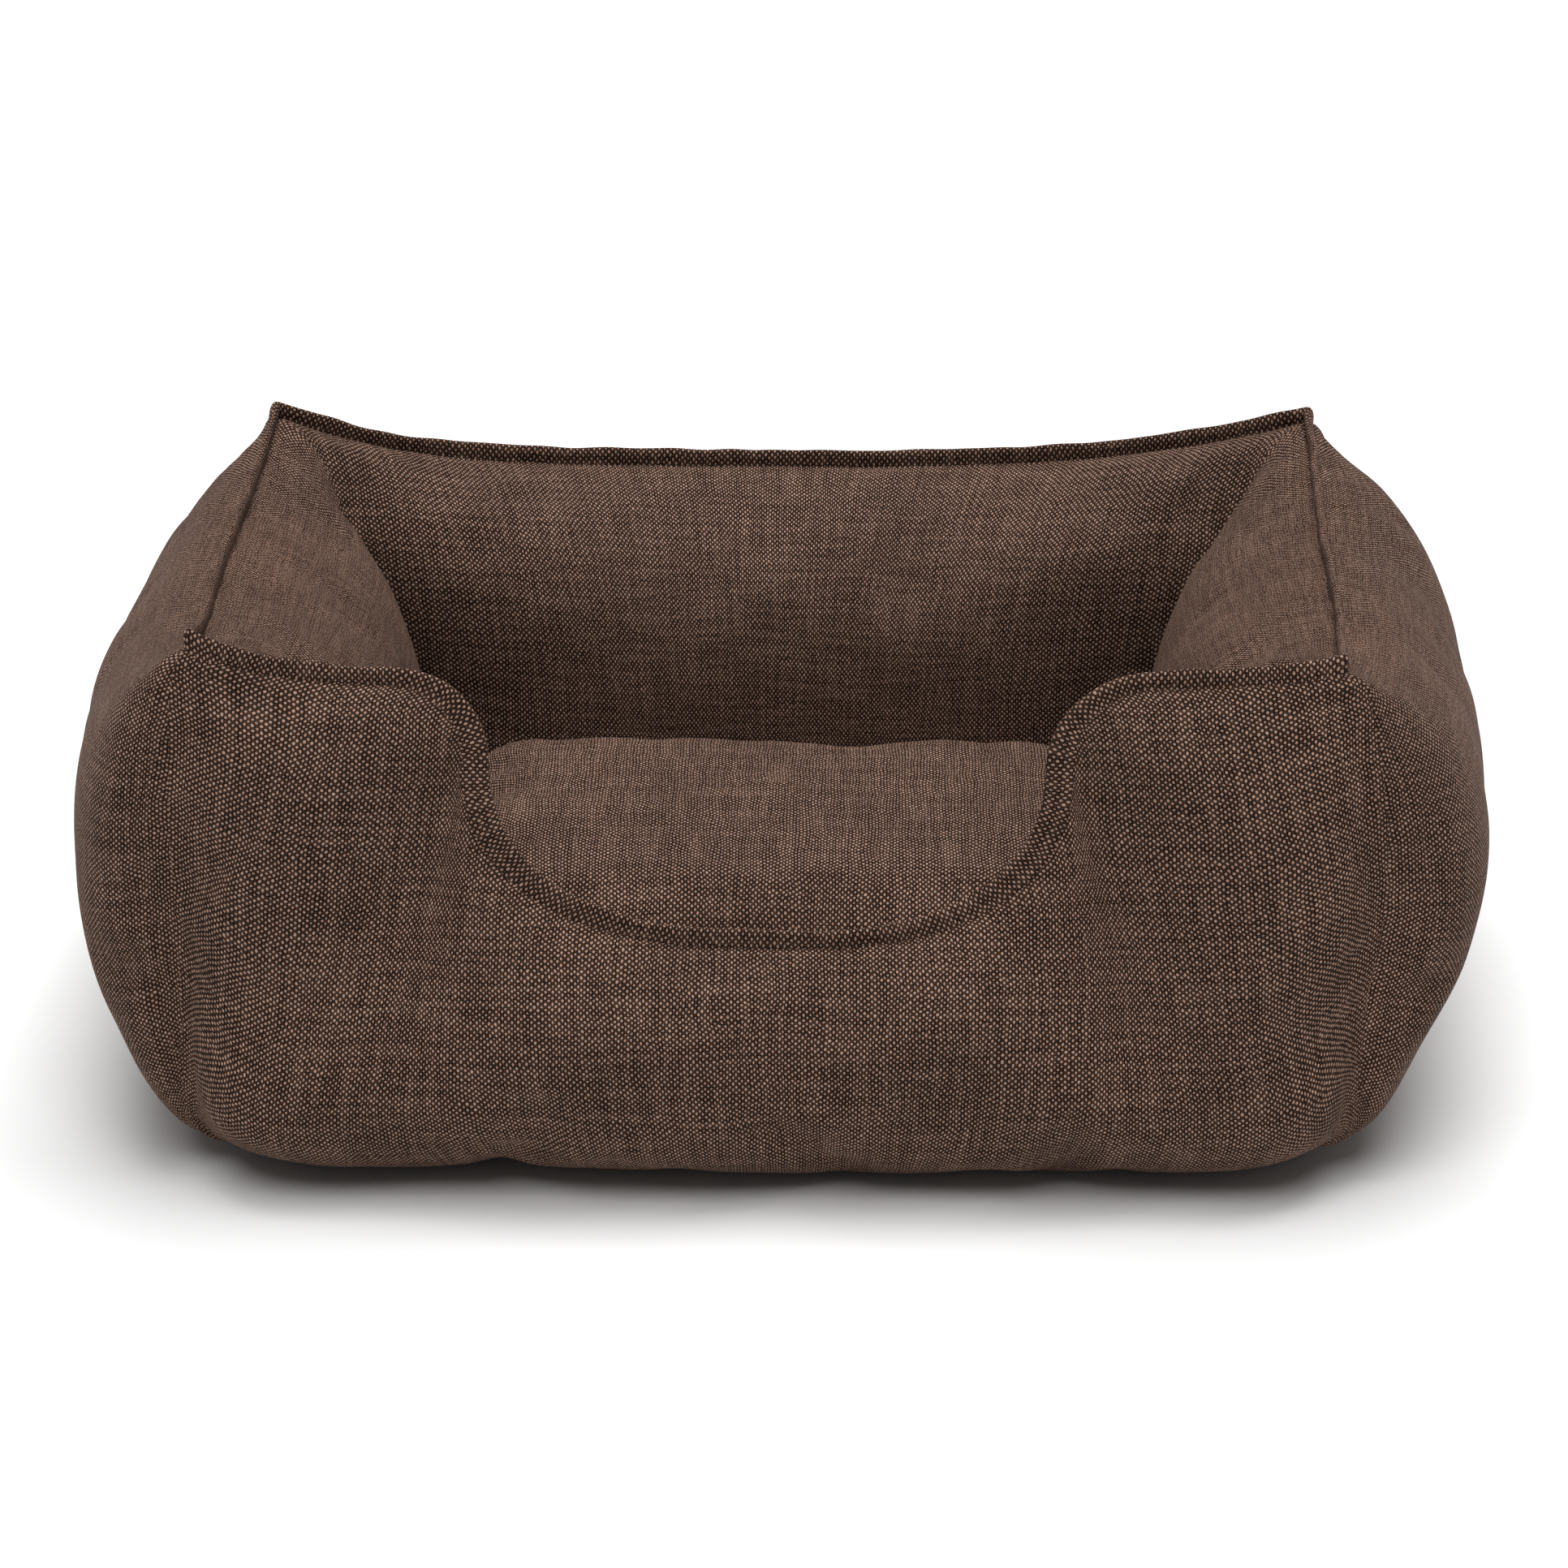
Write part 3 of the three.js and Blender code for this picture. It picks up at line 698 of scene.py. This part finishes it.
for start in rim_starts:
    for step, hold in ((-1, 0.3), (0, 0.5), (1, 0.3)):
        column = (start + step) % COLUMNS
        pinned[column] = np.maximum(pinned[column], hold)

# the zip at the back lies flat on the cloth
FLAT_ROUND_ZIP = 14 * MM
FADE_ROUND_ZIP = 30 * MM
tape_low, tape_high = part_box("rim_zip_tape")
beyond_x = np.abs(rim_points[..., 0]) - tape_high.x
beyond_z = np.abs(rim_points[..., 2] - (tape_low.z + tape_high.z) / 2)
flat_x, flat_z = (np.clip((gap - FLAT_ROUND_ZIP) / FADE_ROUND_ZIP, 0, 1) for gap in (beyond_x, beyond_z))
behind = (rim_points[..., 1] > HALF_Y) & on_outer[None, :]
cap *= np.where(behind, np.maximum(flat_x, flat_z), 1)

# uneven filling
normals = np.zeros(len(rim.data.vertices) * 3, np.float32)
rim.data.vertices.foreach_get("normal", normals)
flat_points = rim_points.reshape(-1, 3)
uneven = lumps(flat_points, 13.0, 3.0 * MM, 1) + lumps(flat_points, 34.0, 1.2 * MM, 2)
share = np.clip(cap.ravel() / PUFF, 0, 1)
set_coordinates(rim, flat_points + normals.reshape(-1, 3) * (uneven * share)[:, None])
swell_cloth(rim, pinned.ravel(), cap.ravel(), pressure=4)
subdivide(rim)
finish_piece(rim, "rim", CLOTH,
             [w["name"] + part for w in WALLS for part in ("_outer_panel", "_inner_panel", "_wall_filling")])

# ---- the flange on the top seam

FLANGE_THICKNESS = 3.9 * MM
FLANGE_ROOT = 1.5 * MM  # how far below the seam its cross-section's height 0 lies
PINCH = dict(depth=0.35, at=0.22, reach=0.16)  # where the stitches pull the flange together
PEAK_FOLD = dict(thicker=0.35, reach=9 * MM)  # folded over at the peaks
PEAK_SAG = 2.5 * MM  # the most that a peak is rounded off
UPRIGHT_FROM = 0.93  # of the way to a wall's end the flange starts to turn upright
UPRIGHT_OVER = 0.07
# Half of the flange's cross-section, from its hidden root to its rim: out from the middle, and up.
FLANGE_SIDE = [(0.5, -0.5), (0.5, 0), (0.5, 0.25), (0.5, 0.5), (0.47, 0.75), (0.36, 0.92), (0.15, 1.0)]


def seam_ring():
    """The top seam once round: points, the way up from it and the way out from it."""
    points, ups, outs = [], [], []
    for wall in WALLS:
        f = shares(wall["columns"] * 3)
        along, offset, height = seam_of(wall, f)
        line = np.stack([along + f * offset * (np.abs(f) == 1), height], axis=-1)
        tangent = np.gradient(line, axis=0)
        tangent /= np.linalg.norm(tangent, axis=1)[:, None]
        upright = np.stack([-tangent[:, 1], tangent[:, 0]], axis=-1)
        at_corner = np.clip((np.abs(f) - UPRIGHT_FROM) / UPRIGHT_OVER, 0, 1)[:, None]
        upright = mix(upright, np.array([0.0, 1.0]), at_corner)
        upright /= np.linalg.norm(upright, axis=1)[:, None]
        place = np.stack([along, -(wall["distance"] + offset), height], axis=-1)
        up = np.stack([upright[:, 0], 0 * f, upright[:, 1]], axis=-1)
        sideways = np.where(np.abs(f) > 0.999, np.sign(f), 0)
        out = np.stack([sideways, -np.ones_like(f), 0 * f], axis=-1)
        for kept, value in ((points, place), (ups, up), (outs, out)):
            kept.append(turned(value, wall["turn"])[:-1])
    return settle(np.concatenate(points)), np.concatenate(ups), np.concatenate(outs)


def softened(values, reach):
    """A ring of values averaged with their neighbours."""
    weights = np.exp(-np.linspace(-2, 2, 2 * reach + 1) ** 2)
    turns = [np.roll(values, step, axis=0) * w for step, w in zip(range(-reach, reach + 1), weights)]
    return sum(turns) / weights.sum()


ring, ring_up, ring_out = seam_ring()
sharp = ring.copy()
ring, ring_up, ring_out = softened(ring, 3), softened(ring_up, 4), softened(ring_out, 4)
ring[:, 2] = np.maximum(ring[:, 2], sharp[:, 2] - PEAK_SAG)
ring_up /= np.linalg.norm(ring_up, axis=1)[:, None]
corner_gap = np.hypot(np.abs(ring[:, 0]) - HALF_X, np.abs(ring[:, 1]) - HALF_Y)
folded = np.exp(-(corner_gap / PEAK_FOLD["reach"]) ** 2)
ring_length = run_along(np.vstack([ring, ring[:1]]))
profile = []
for across, height in FLANGE_SIDE + [(-across, height) for across, height in FLANGE_SIDE[::-1]]:
    pinch = 1 - PINCH["depth"] * math.exp(-((height - PINCH["at"]) / PINCH["reach"]) ** 2)
    profile.append((across * FLANGE_THICKNESS * pinch, height))
wave = lumps(ring, 45.0, 1.6 * MM, 5)
tall = FLANGE_HEIGHT + lumps(ring, 60.0, 1.0 * MM, 6)
strip = []
for across, height in profile:
    aside = across * (1 + PEAK_FOLD["thicker"] * folded) + wave * height
    above = LIFT * height + tall * height - FLANGE_ROOT * (1 - height)
    strip.append(ring + ring_out * aside[:, None] + ring_up * above[:, None])
strip = np.stack(strip, axis=1)
count, rows = strip.shape[:2]
uv = np.zeros((count, rows, 4, 2))
v = run_along(np.array([(across, height * FLANGE_HEIGHT) for across, height in profile]))
v = np.append(v, v[0])
for k, (dc, dr) in enumerate(((0, 0), (1, 0), (1, 1), (0, 1))):
    uv[:, :, k, 0] = ring_length[dc : dc + count, None]
    uv[:, :, k, 1] = v[None, dr : dr + rows]
flange = make("top_flange", strip, grid_faces(count, rows, True, True), uv)
subdivide(flange)
finish_piece(flange, "rim", CLOTH, [w["name"] + "_top_flange" for w in WALLS])

# ---- stitches


SEWING = dict(pitch=3.1 * MM, length=2.3 * MM, radius=0.22 * MM, sides=5, out=0.64, up=1.9 * MM)
# One stitch: the share of its length, its thickness, and how far it stands out.
STITCH_RINGS = [(0, 0.35, -0.35), (0.18, 1, 0.25), (0.5, 1, 0.5), (0.82, 1, 0.25), (1, 0.35, -0.35)]


def stitch_line(points, out):
    """The mesh of short thread stitches laid along a ring of points, each bowed out a little."""
    points = np.vstack([points, points[:1]])
    out = np.vstack([out, out[:1]])
    out = out / np.linalg.norm(out, axis=1)[:, None]
    run = run_along(points)
    sides = SEWING["sides"]
    verts, faces = [], []

    def read(values, at):
        return np.array([np.interp(at, run, values[:, axis]) for axis in range(3)])

    for k in range(int(run[-1] / SEWING["pitch"])):
        first = len(verts)
        for share, wide, lifted in STITCH_RINGS:
            at = k * SEWING["pitch"] + share * SEWING["length"]
            p, o = read(points, at), read(out, at)
            ahead = read(points, at + MM) - p
            ahead /= max(np.linalg.norm(ahead), 1e-9)
            o /= max(np.linalg.norm(o), 1e-9)
            third = np.cross(ahead, o)
            for s in range(sides):
                angle = 2 * math.pi * s / sides
                way = o * (lifted + wide * math.cos(angle)) + third * wide * math.sin(angle)
                verts.append(p + way * SEWING["radius"])
        faces += capped(len(STITCH_RINGS), sides, [0, 3, 2, 1], False, first)
    return verts, faces


for label, sign in (("outside", 1), ("inside", -1)):
    line = ring + ring_out * (sign * FLANGE_THICKNESS * 0.5 * SEWING["out"]) + ring_up * SEWING["up"]
    stitches = make("flange_stitches_" + label, *stitch_line(line, ring_out * sign))
    finish_piece(stitches, "rim", STITCH_AND_CREASE_SHADE)

# ---- the cushion

top_low, top_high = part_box("cushion_top_cover")
under_low, under_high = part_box("cushion_bottom_cover")
CUSHION_SEAM = (top_low.z + under_high.z) / 2
CUSHION_MIDDLE = (top_low.y + top_high.y) / 2
CUSHION_HALF = ((top_high.x - top_low.x) / 2, (top_high.y - top_low.y) / 2)
CROWN = 15 * MM
CUSHION_PUFF = 5 * MM
UNDER_PUFF = 0.4 * MM
EDGE_PUFF = dict(fade=0.25, least=0.08)
SQUARENESS = 15  # how square the cushion's shoulders are
EDGE_INSET = 6 * MM  # how far the corners draw in
SPACING = 0.96  # how much the grid crowds towards the edge
CUSHION_CLOTH = 2.0  # its cloth is cut from a part of the roll beyond the rim's
# How the crown flattens out: towards the sides, the front and the back.
DOME = dict(side=16, front=2.2, back=3, back_share=0.3)
NU, NV = 72, 50


def pillow(u, v, height, crown, squareness=SQUARENESS):
    """Half of a boxy pillow over its edge seam, u and v from -1 to 1."""
    side, end = (np.clip(1 - np.abs(w) ** squareness, 0, 1) for w in (u, v))
    shoulder = np.sqrt(side * end)
    forward = 1 - np.abs(v) ** DOME["front"]
    backward = 1 - DOME["back_share"] * np.abs(v) ** DOME["back"]
    dome = (1 - np.abs(u) ** DOME["side"]) * np.where(v < 0, forward, backward)
    x = u * (CUSHION_HALF[0] - EDGE_INSET * np.abs(v) ** 4)
    y = CUSHION_MIDDLE + v * (CUSHION_HALF[1] - EDGE_INSET * np.abs(u) ** 4)
    return np.stack([x, y, CUSHION_SEAM + shoulder * height + crown * dome], axis=-1)


def edge_spaced(count):
    """Places from -1 to 1 that crowd towards both ends, where the sides of the pillow are steep."""
    t = np.linspace(-1, 1, count)
    return np.sin(t * math.pi / 2 * SPACING) / math.sin(math.pi / 2 * SPACING)


us, vs = np.meshgrid(edge_spaced(NU), edge_spaced(NV), indexing="ij")
over = pillow(us, vs, top_high.z - CUSHION_SEAM - CROWN - 1 * MM, CROWN)
below = pillow(us, vs, under_low.z - CUSHION_SEAM, 0)


def lengths(grid):
    """The length of cloth from the middle to each point, along both ways of the grid."""
    step_u = np.linalg.norm(np.diff(grid, axis=0), axis=-1)
    step_v = np.linalg.norm(np.diff(grid, axis=1), axis=-1)
    u, v = running(step_u), running(step_v, 1)
    return np.stack([u - u[NU // 2] + CUSHION_CLOTH, v - v[:, NV // 2 : NV // 2 + 1]], axis=-1)


cushion, index_over, index_below = sewn_edges("cushion_cover", over, below, lengths(over), lengths(below))
points = coordinates(cushion.data)
held = np.zeros(len(points))
limit = np.zeros(len(points))
edge_share = np.minimum(1 - np.abs(us), 1 - np.abs(vs))
edge_share = np.clip(edge_share / EDGE_PUFF["fade"], EDGE_PUFF["least"], 1)
limit[index_over.ravel()] = (edge_share * CUSHION_PUFF).ravel()
limit[index_below[1:-1, 1:-1].ravel()] = UNDER_PUFF
border = np.ones((NU, NV), bool)
border[1:-1, 1:-1] = False
held[index_over[border]] = 1
uneven = lumps(points, 9.0, 3.0 * MM, 11) + lumps(points, 30.0, 0.8 * MM, 12)
points[:, 2] += uneven * limit / CUSHION_PUFF
set_coordinates(cushion, points)
swell_cloth(cushion, held, limit, pressure=3)
subdivide(cushion)
finish_piece(cushion, "cushion", CLOTH,
             ["cushion_top_cover", "cushion_bottom_cover", "cushion_filling"])

# ---- cushion piping


PIPING_RADIUS = 1.1 * MM
PIPING_SQUARENESS = 11


def tube(name, path, radius, sides=8):
    """A round strip along a path, closed at its ends."""
    tangent = np.gradient(path, axis=0)
    tangent /= np.linalg.norm(tangent, axis=1)[:, None]
    hint = np.array([0, 0, 1.0]) if abs(tangent[:, 2]).mean() < 0.7 else np.array([0, 1.0, 0])
    first = np.cross(tangent, hint)
    first /= np.linalg.norm(first, axis=1)[:, None]
    second = np.cross(tangent, first)
    angle = np.linspace(0, 2 * math.pi, sides, endpoint=False)
    points = (path[:, None] + radius * (first[:, None] * np.cos(angle)[None, :, None]
                                        + second[:, None] * np.sin(angle)[None, :, None]))
    run = run_along(path)
    uv = []
    for start, end in zip(run[:-1], run[1:]):
        for s in range(sides):
            low, high = (k * 2 * math.pi * radius / sides for k in (s, s + 1))
            uv += [(start, high), (end, high), (end, low), (start, low)]
    uv += [(0, 0)] * (2 * sides)
    return make(name, points, capped(len(path), sides, [3, 2, 1, 0], True), uv)


edge = np.linspace(-1, 1, 60)
one = np.ones(60)
around = ((-one, edge[::-1]), (edge, -one), (one, edge))
left, front, right = (pillow(u, v, 0, 0, PIPING_SQUARENESS) for u, v in around)
piping = tube("cushion_piping", np.concatenate([left[:-1], front[:-1], right]), PIPING_RADIUS)
finish_piece(piping, "cushion", CLOTH)

# ---- the floor of the rim


def patch(front, right, back, left, nu, nv):
    """A grid between four edge lines; front and back run along +X, left and right along +Y."""
    u, v = np.linspace(0, 1, nu)[:, None, None], np.linspace(0, 1, nv)[None, :, None]
    lines = mix(front[:, None], back[:, None], v) + mix(left[None, :], right[None, :], u)
    corners = mix(mix(front[:1, None], front[-1:, None], u), mix(back[:1, None], back[-1:, None], u), v)
    return lines - corners


def floor_edge(wall, count):
    """Where the floor pad meets a wall's inner face, once along the wall."""
    f = np.linspace(-1, 1, count)
    reach = mix(CORNER["reach"], wall["reach"], swell_share(wall, f)) - PAD_CLEARANCE
    x = f * (wall["half"] + reach)
    return turned(np.stack([x, -(wall["distance"] + reach), 0 * f], axis=-1), wall["turn"])


NPU, NPV = 61, 41
PAD_CLEARANCE = 3.4 * MM
QUILT_PITCH = 44 * MM
QUILT_LOW = 0.45  # the pad's thickness at its stitching
pad_edges = [floor_edge(wall, count) for wall, count in zip(WALLS, (NPU, NPV, NPU, NPV))]
flat = patch(pad_edges[0], pad_edges[1], pad_edges[2][::-1], pad_edges[3][::-1], NPU, NPV)
pad_low, pad_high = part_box("base_wadding")[0].z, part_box("inner_floor_cloth")[1].z
across, deep = (np.sin(flat[..., axis] * math.pi / QUILT_PITCH) for axis in (0, 1))
quilt = np.abs(across * deep) ** 0.4
rim_of = np.ones((NPU, NPV))
rim_of[[0, -1], :] = 0
rim_of[:, [0, -1]] = 0
pad_top, pad_under = flat.copy(), flat.copy()
middle = (pad_low + pad_high) / 2
pad_top[..., 2] = middle + rim_of * (pad_high - middle) * (QUILT_LOW + (1 - QUILT_LOW) * quilt)
pad_under[..., 2] = middle - rim_of * (middle - pad_low) * 0.95
pad, _, _ = sewn_edges("floor_pad", pad_top, pad_under, flat[..., :2], flat[..., :2])
subdivide(pad)
finish_piece(pad, "rim", CLOTH, ["inner_floor_cloth", "base_wadding"])

# ---- the base cloth

base_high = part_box("base_sheet")[1]
BASE_RADIUS = 45 * MM
DOT = dict(pitch=15 * MM, radius=2.6 * MM, margin=9 * MM, sides=12)
ROW_PITCH = 0.866  # of the dots' pitch: every dot has six neighbours equally far away
# The base cloth's rings: size as a share of its outline, and height as a share of its box.
UPPER_RINGS = [(1.0, 0.55), (1.0, 0.85), (0.996, 1.0), (0.97, 1.0)]
UPPER_RINGS += [(size, 0.9) for size in (0.96, 0.7, 0.4, 0.1)]
CLOTH_UNDER = 0.42
LOWER_RINGS = [(size, CLOTH_UNDER) for size in (0.1, 0.4, 0.7, 0.96)] + [(0.97, 0.34), (0.996, 0.34)]
DOT_RINGS = [(1.0, CLOTH_UNDER * base_high.z), (0.9, 0.1 * MM), (0.6, 0.02 * MM)]


def rounded_outline(half_x, half_y, radius, steps=10):
    """A rectangle with round corners."""
    points = []
    for cx, cy, start in ((1, -1, -90), (1, 1, 0), (-1, 1, 90), (-1, -1, 180)):
        for k in range(steps + 1):
            angle = math.radians(start + 90 * k / steps)
            points.append((cx * (half_x - radius) + radius * math.cos(angle),
                           cy * (half_y - radius) + radius * math.sin(angle)))
    return np.array(points)


outline = rounded_outline(base_high.x, base_high.y, BASE_RADIUS)
rings = UPPER_RINGS + LOWER_RINGS
size = len(outline)
verts = [np.column_stack([outline * k, np.full(size, z * base_high.z)]) for k, z in rings]
verts = np.concatenate(verts)
faces = []
for g in range(len(rings)):
    h = (g + 1) % len(rings)
    if g == len(UPPER_RINGS) - 1:
        faces.append([g * size + k for k in range(size)])
        faces.append([h * size + k for k in range(size)][::-1])
        continue
    for k in range(size):
        m = (k + 1) % size
        faces.append([g * size + k, g * size + m, h * size + m, h * size + k])
base = make("base_cloth", verts, faces, [verts[corner, :2] for face in faces for corner in face])
BASE_CLOTH = weave_material(
    "dark_base_cloth",
    yarn=(0.06, 0.052, 0.047, 1),
    light=(0.085, 0.074, 0.067, 1),
    under=(0.03, 0.026, 0.024, 1),
    # gap: painted shade between the threads
    gap=(0.008, 0.007, 0.007, 1),
    thread=(0.7 * MM, 0.7 * MM),
)
finish_piece(base, "rim", BASE_CLOTH, ["base_sheet"])



def on_base(x, y, margin):
    """Whether a place on the base cloth is at least a margin inside its outline."""
    corner = max(abs(x) - (base_high.x - BASE_RADIUS), 0), max(abs(y) - (base_high.y - BASE_RADIUS), 0)
    past_edge = max(abs(x) - base_high.x, abs(y) - base_high.y) > -margin
    return not past_edge and math.hypot(*corner) <= BASE_RADIUS - margin


verts, faces = [], []
sides = DOT["sides"]
columns, rows = int(base_high.x / DOT["pitch"]), int(base_high.y / DOT["pitch"] / ROW_PITCH)
for i in range(-columns, columns + 1):
    for j in range(-rows, rows + 1):
        x, y = (i + 0.5 * (j % 2)) * DOT["pitch"], j * DOT["pitch"] * ROW_PITCH
        if not on_base(x, y, DOT["margin"]):
            continue
        first = len(verts)
        for share, z in DOT_RINGS:
            radius = share * DOT["radius"]
            for k in range(sides):
                angle = 2 * math.pi * k / sides
                verts.append((x + radius * math.cos(angle), y + radius * math.sin(angle), z))
        faces += capped(len(DOT_RINGS), sides, [3, 0, 1, 2], True, first)
dots = make("grip_dots", verts, faces, smooth=False)
GRIP = plastic_material("black_grip_rubber", (0.012, 0.012, 0.012, 1), (0.022, 0.022, 0.022, 1), (0.6, 0.75))
finish_piece(dots, "rim", GRIP)

# ---- zips

TAPE = tape_material("brown_zip_tape", (0.045, 0.03, 0.022, 1), (0.09, 0.062, 0.048, 1))
COIL = plastic_material("brown_nylon_coil", (0.035, 0.022, 0.016, 1), (0.06, 0.04, 0.03, 1))
METAL = metal_material("bronze_lacquer")
TAPE_STEPS = 120
TAPE_WAVE = dict(often=90, far=0.15 * MM)
# Half of the zip tape's cross-section, from its edge to the middle: across, and out as a share of its box.
TAPE_SIDE = [(0.5, 0.1), (0.5, 0.6), (0.46, 0.9), (0.3, 0.7), (0.16, 0.75), (0.12, 1.0), (0.06, 1.0)]
COIL_WIRE = 0.36 * MM
COIL_PITCH = 1.45 * MM
# The metal clips: places along them and their thickness there. CLIP_SQUARE is under 1 for square sides.
CLIP_HALF = [(1, 0.72), (0.82, 0.96), (0.3, 1.0), (0.12, 0.86)]
CLIP_RINGS = [(-place, wide) for place, wide in CLIP_HALF] + CLIP_HALF[::-1]
CLIP_SQUARE = 0.45
CLIP_SIDES = 16


def zip_tape(name, node, body):
    """Two tape halves with a rolled edge beside the coil, slightly wavy."""
    low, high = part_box(node)
    x = np.linspace(low.x, high.x, TAPE_STEPS)
    wave = np.sin(x * TAPE_WAVE["often"]) * TAPE_WAVE["far"]
    section = [(-z, y) for z, y in TAPE_SIDE] + [(0, 0.55)] + TAPE_SIDE[::-1]
    grid = np.zeros((TAPE_STEPS, len(section), 3))
    for k, (z, y) in enumerate(section):
        grid[:, k, 0] = x
        grid[:, k, 1] = low.y + y * (high.y - low.y)
        grid[:, k, 2] = (low.z + high.z) / 2 + z * (high.z - low.z) + wave * z
    faces = capped(TAPE_STEPS, len(section), [3, 2, 1, 0], True)
    finish_piece(make(name, grid, faces, smooth=False), body, TAPE, [node])


def zip_coil(name, node, body):
    """A nylon coil wound along the zip."""
    low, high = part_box(node)
    radius = COIL_WIRE
    turns = int((high.x - low.x) / COIL_PITCH)
    t = np.linspace(0, turns, turns * 12)
    angle = 2 * math.pi * t
    path = np.column_stack([
        low.x + radius + (high.x - low.x - 2 * radius) * t / turns,
        (low.y + high.y) / 2 + ((high.y - low.y) / 2 - radius) * np.cos(angle),
        (low.z + high.z) / 2 + ((high.z - low.z) / 2 - radius) * np.sin(angle),
    ])
    finish_piece(tube(name, path, radius, 5), body, COIL, [node])


def zip_clip(name, node, body):
    """A small metal clip with rounded edges and a pressed groove across it."""
    low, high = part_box(node)
    centre, half = (low + high) / 2, (high - low) / 2
    points = []
    for across, size in CLIP_RINGS:
        for k in range(CLIP_SIDES):
            angle = 2 * math.pi * k / CLIP_SIDES + math.pi / CLIP_SIDES
            c, s = math.cos(angle), math.sin(angle)
            points.append((centre.x + across * half.x,
                           centre.y + half.y * size * math.copysign(abs(c) ** CLIP_SQUARE, c),
                           centre.z + half.z * size * math.copysign(abs(s) ** CLIP_SQUARE, s)))
    faces = capped(len(CLIP_RINGS), CLIP_SIDES, [0, 1, 2, 3], False)
    finish_piece(make(name, points, faces), body, METAL, [node])


for label in ("rim", "cushion"):
    zip_tape(label + "_zip_tape_cloth", label + "_zip_tape", label)
    zip_coil(label + "_zip_coil_wound", label + "_zip_coil", label)
    for end in ("closed", "open"):
        zip_clip(label + "_zip_clip_" + end, label + "_zip_stop_" + end, label)
    for part in ("_zip_slider", "_zip_pull"):
        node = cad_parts[label + part]
        node.data.materials.clear()
        node.data.materials.append(METAL)

# ---- floor, light and camera

FLOOR_REACH = 400.0  # in metres, so that low views see no edge
SKY = 0.16
corners = [(x * FLOOR_REACH, y * FLOOR_REACH, 0) for x, y in ((-1, -1), (1, -1), (1, 1), (-1, 1))]
floor = make("studio_floor", corners, [(0, 1, 2, 3)], smooth=False)
n = Nodes("pale_floor")
place = n.put("TexCoord").outputs["Object"]
patches = n.ramp(n.noise(place, 3.0), 0.3, 0.7)
n.link(n.blend(patches, (0.86, 0.86, 0.86, 1), (0.9, 0.9, 0.9, 1)), "Base Color")
n.set(Roughness=0.8)
floor.data.materials.append(n.material)

world = bpy.data.worlds.new("studio")
bpy.context.scene.world = world
world.use_nodes = True
world.node_tree.nodes["Background"].inputs[0].default_value = (1, 1, 1, 1)
world.node_tree.nodes["Background"].inputs[1].default_value = SKY


def soft_sun(name, place, strength, spread):
    """A sun that shines from a place to the middle of the floor, as wide as spread in degrees."""
    light = bpy.data.lights.new(name, "SUN")
    light.energy = strength
    light.angle = math.radians(spread)
    lamp = bpy.data.objects.new(name, light)
    bpy.context.scene.collection.objects.link(lamp)
    lamp.location = place
    lamp.rotation_euler = (-Vector(place)).to_track_quat("-Z", "Y").to_euler()


soft_sun("key", place=(-0.2, -1.3, 2.4), strength=1.5, spread=40)
soft_sun("top", place=(0.2, 0.4, 2.6), strength=2.5, spread=45)

camera_data = bpy.data.cameras.new("camera")
camera_data.lens = 135
camera_data.sensor_width = 36
camera_data.dof.use_dof = False
camera = bpy.data.objects.new("camera", camera_data)
bpy.context.scene.collection.objects.link(camera)
TARGET = Vector((0, 0, 118 * MM))
DISTANCE = 2.71
elevation = math.radians(21.7)
azimuth = math.radians(1.0)
level = math.cos(elevation)
away = Vector((math.sin(azimuth) * level, -math.cos(azimuth) * level, math.sin(elevation)))
camera.location = TARGET + DISTANCE * away
camera.rotation_euler = (TARGET - camera.location).to_track_quat("-Z", "Y").to_euler()
bpy.context.scene.camera = camera
bpy.context.scene.view_settings.view_transform = "Standard"

bpy.context.view_layer.update()
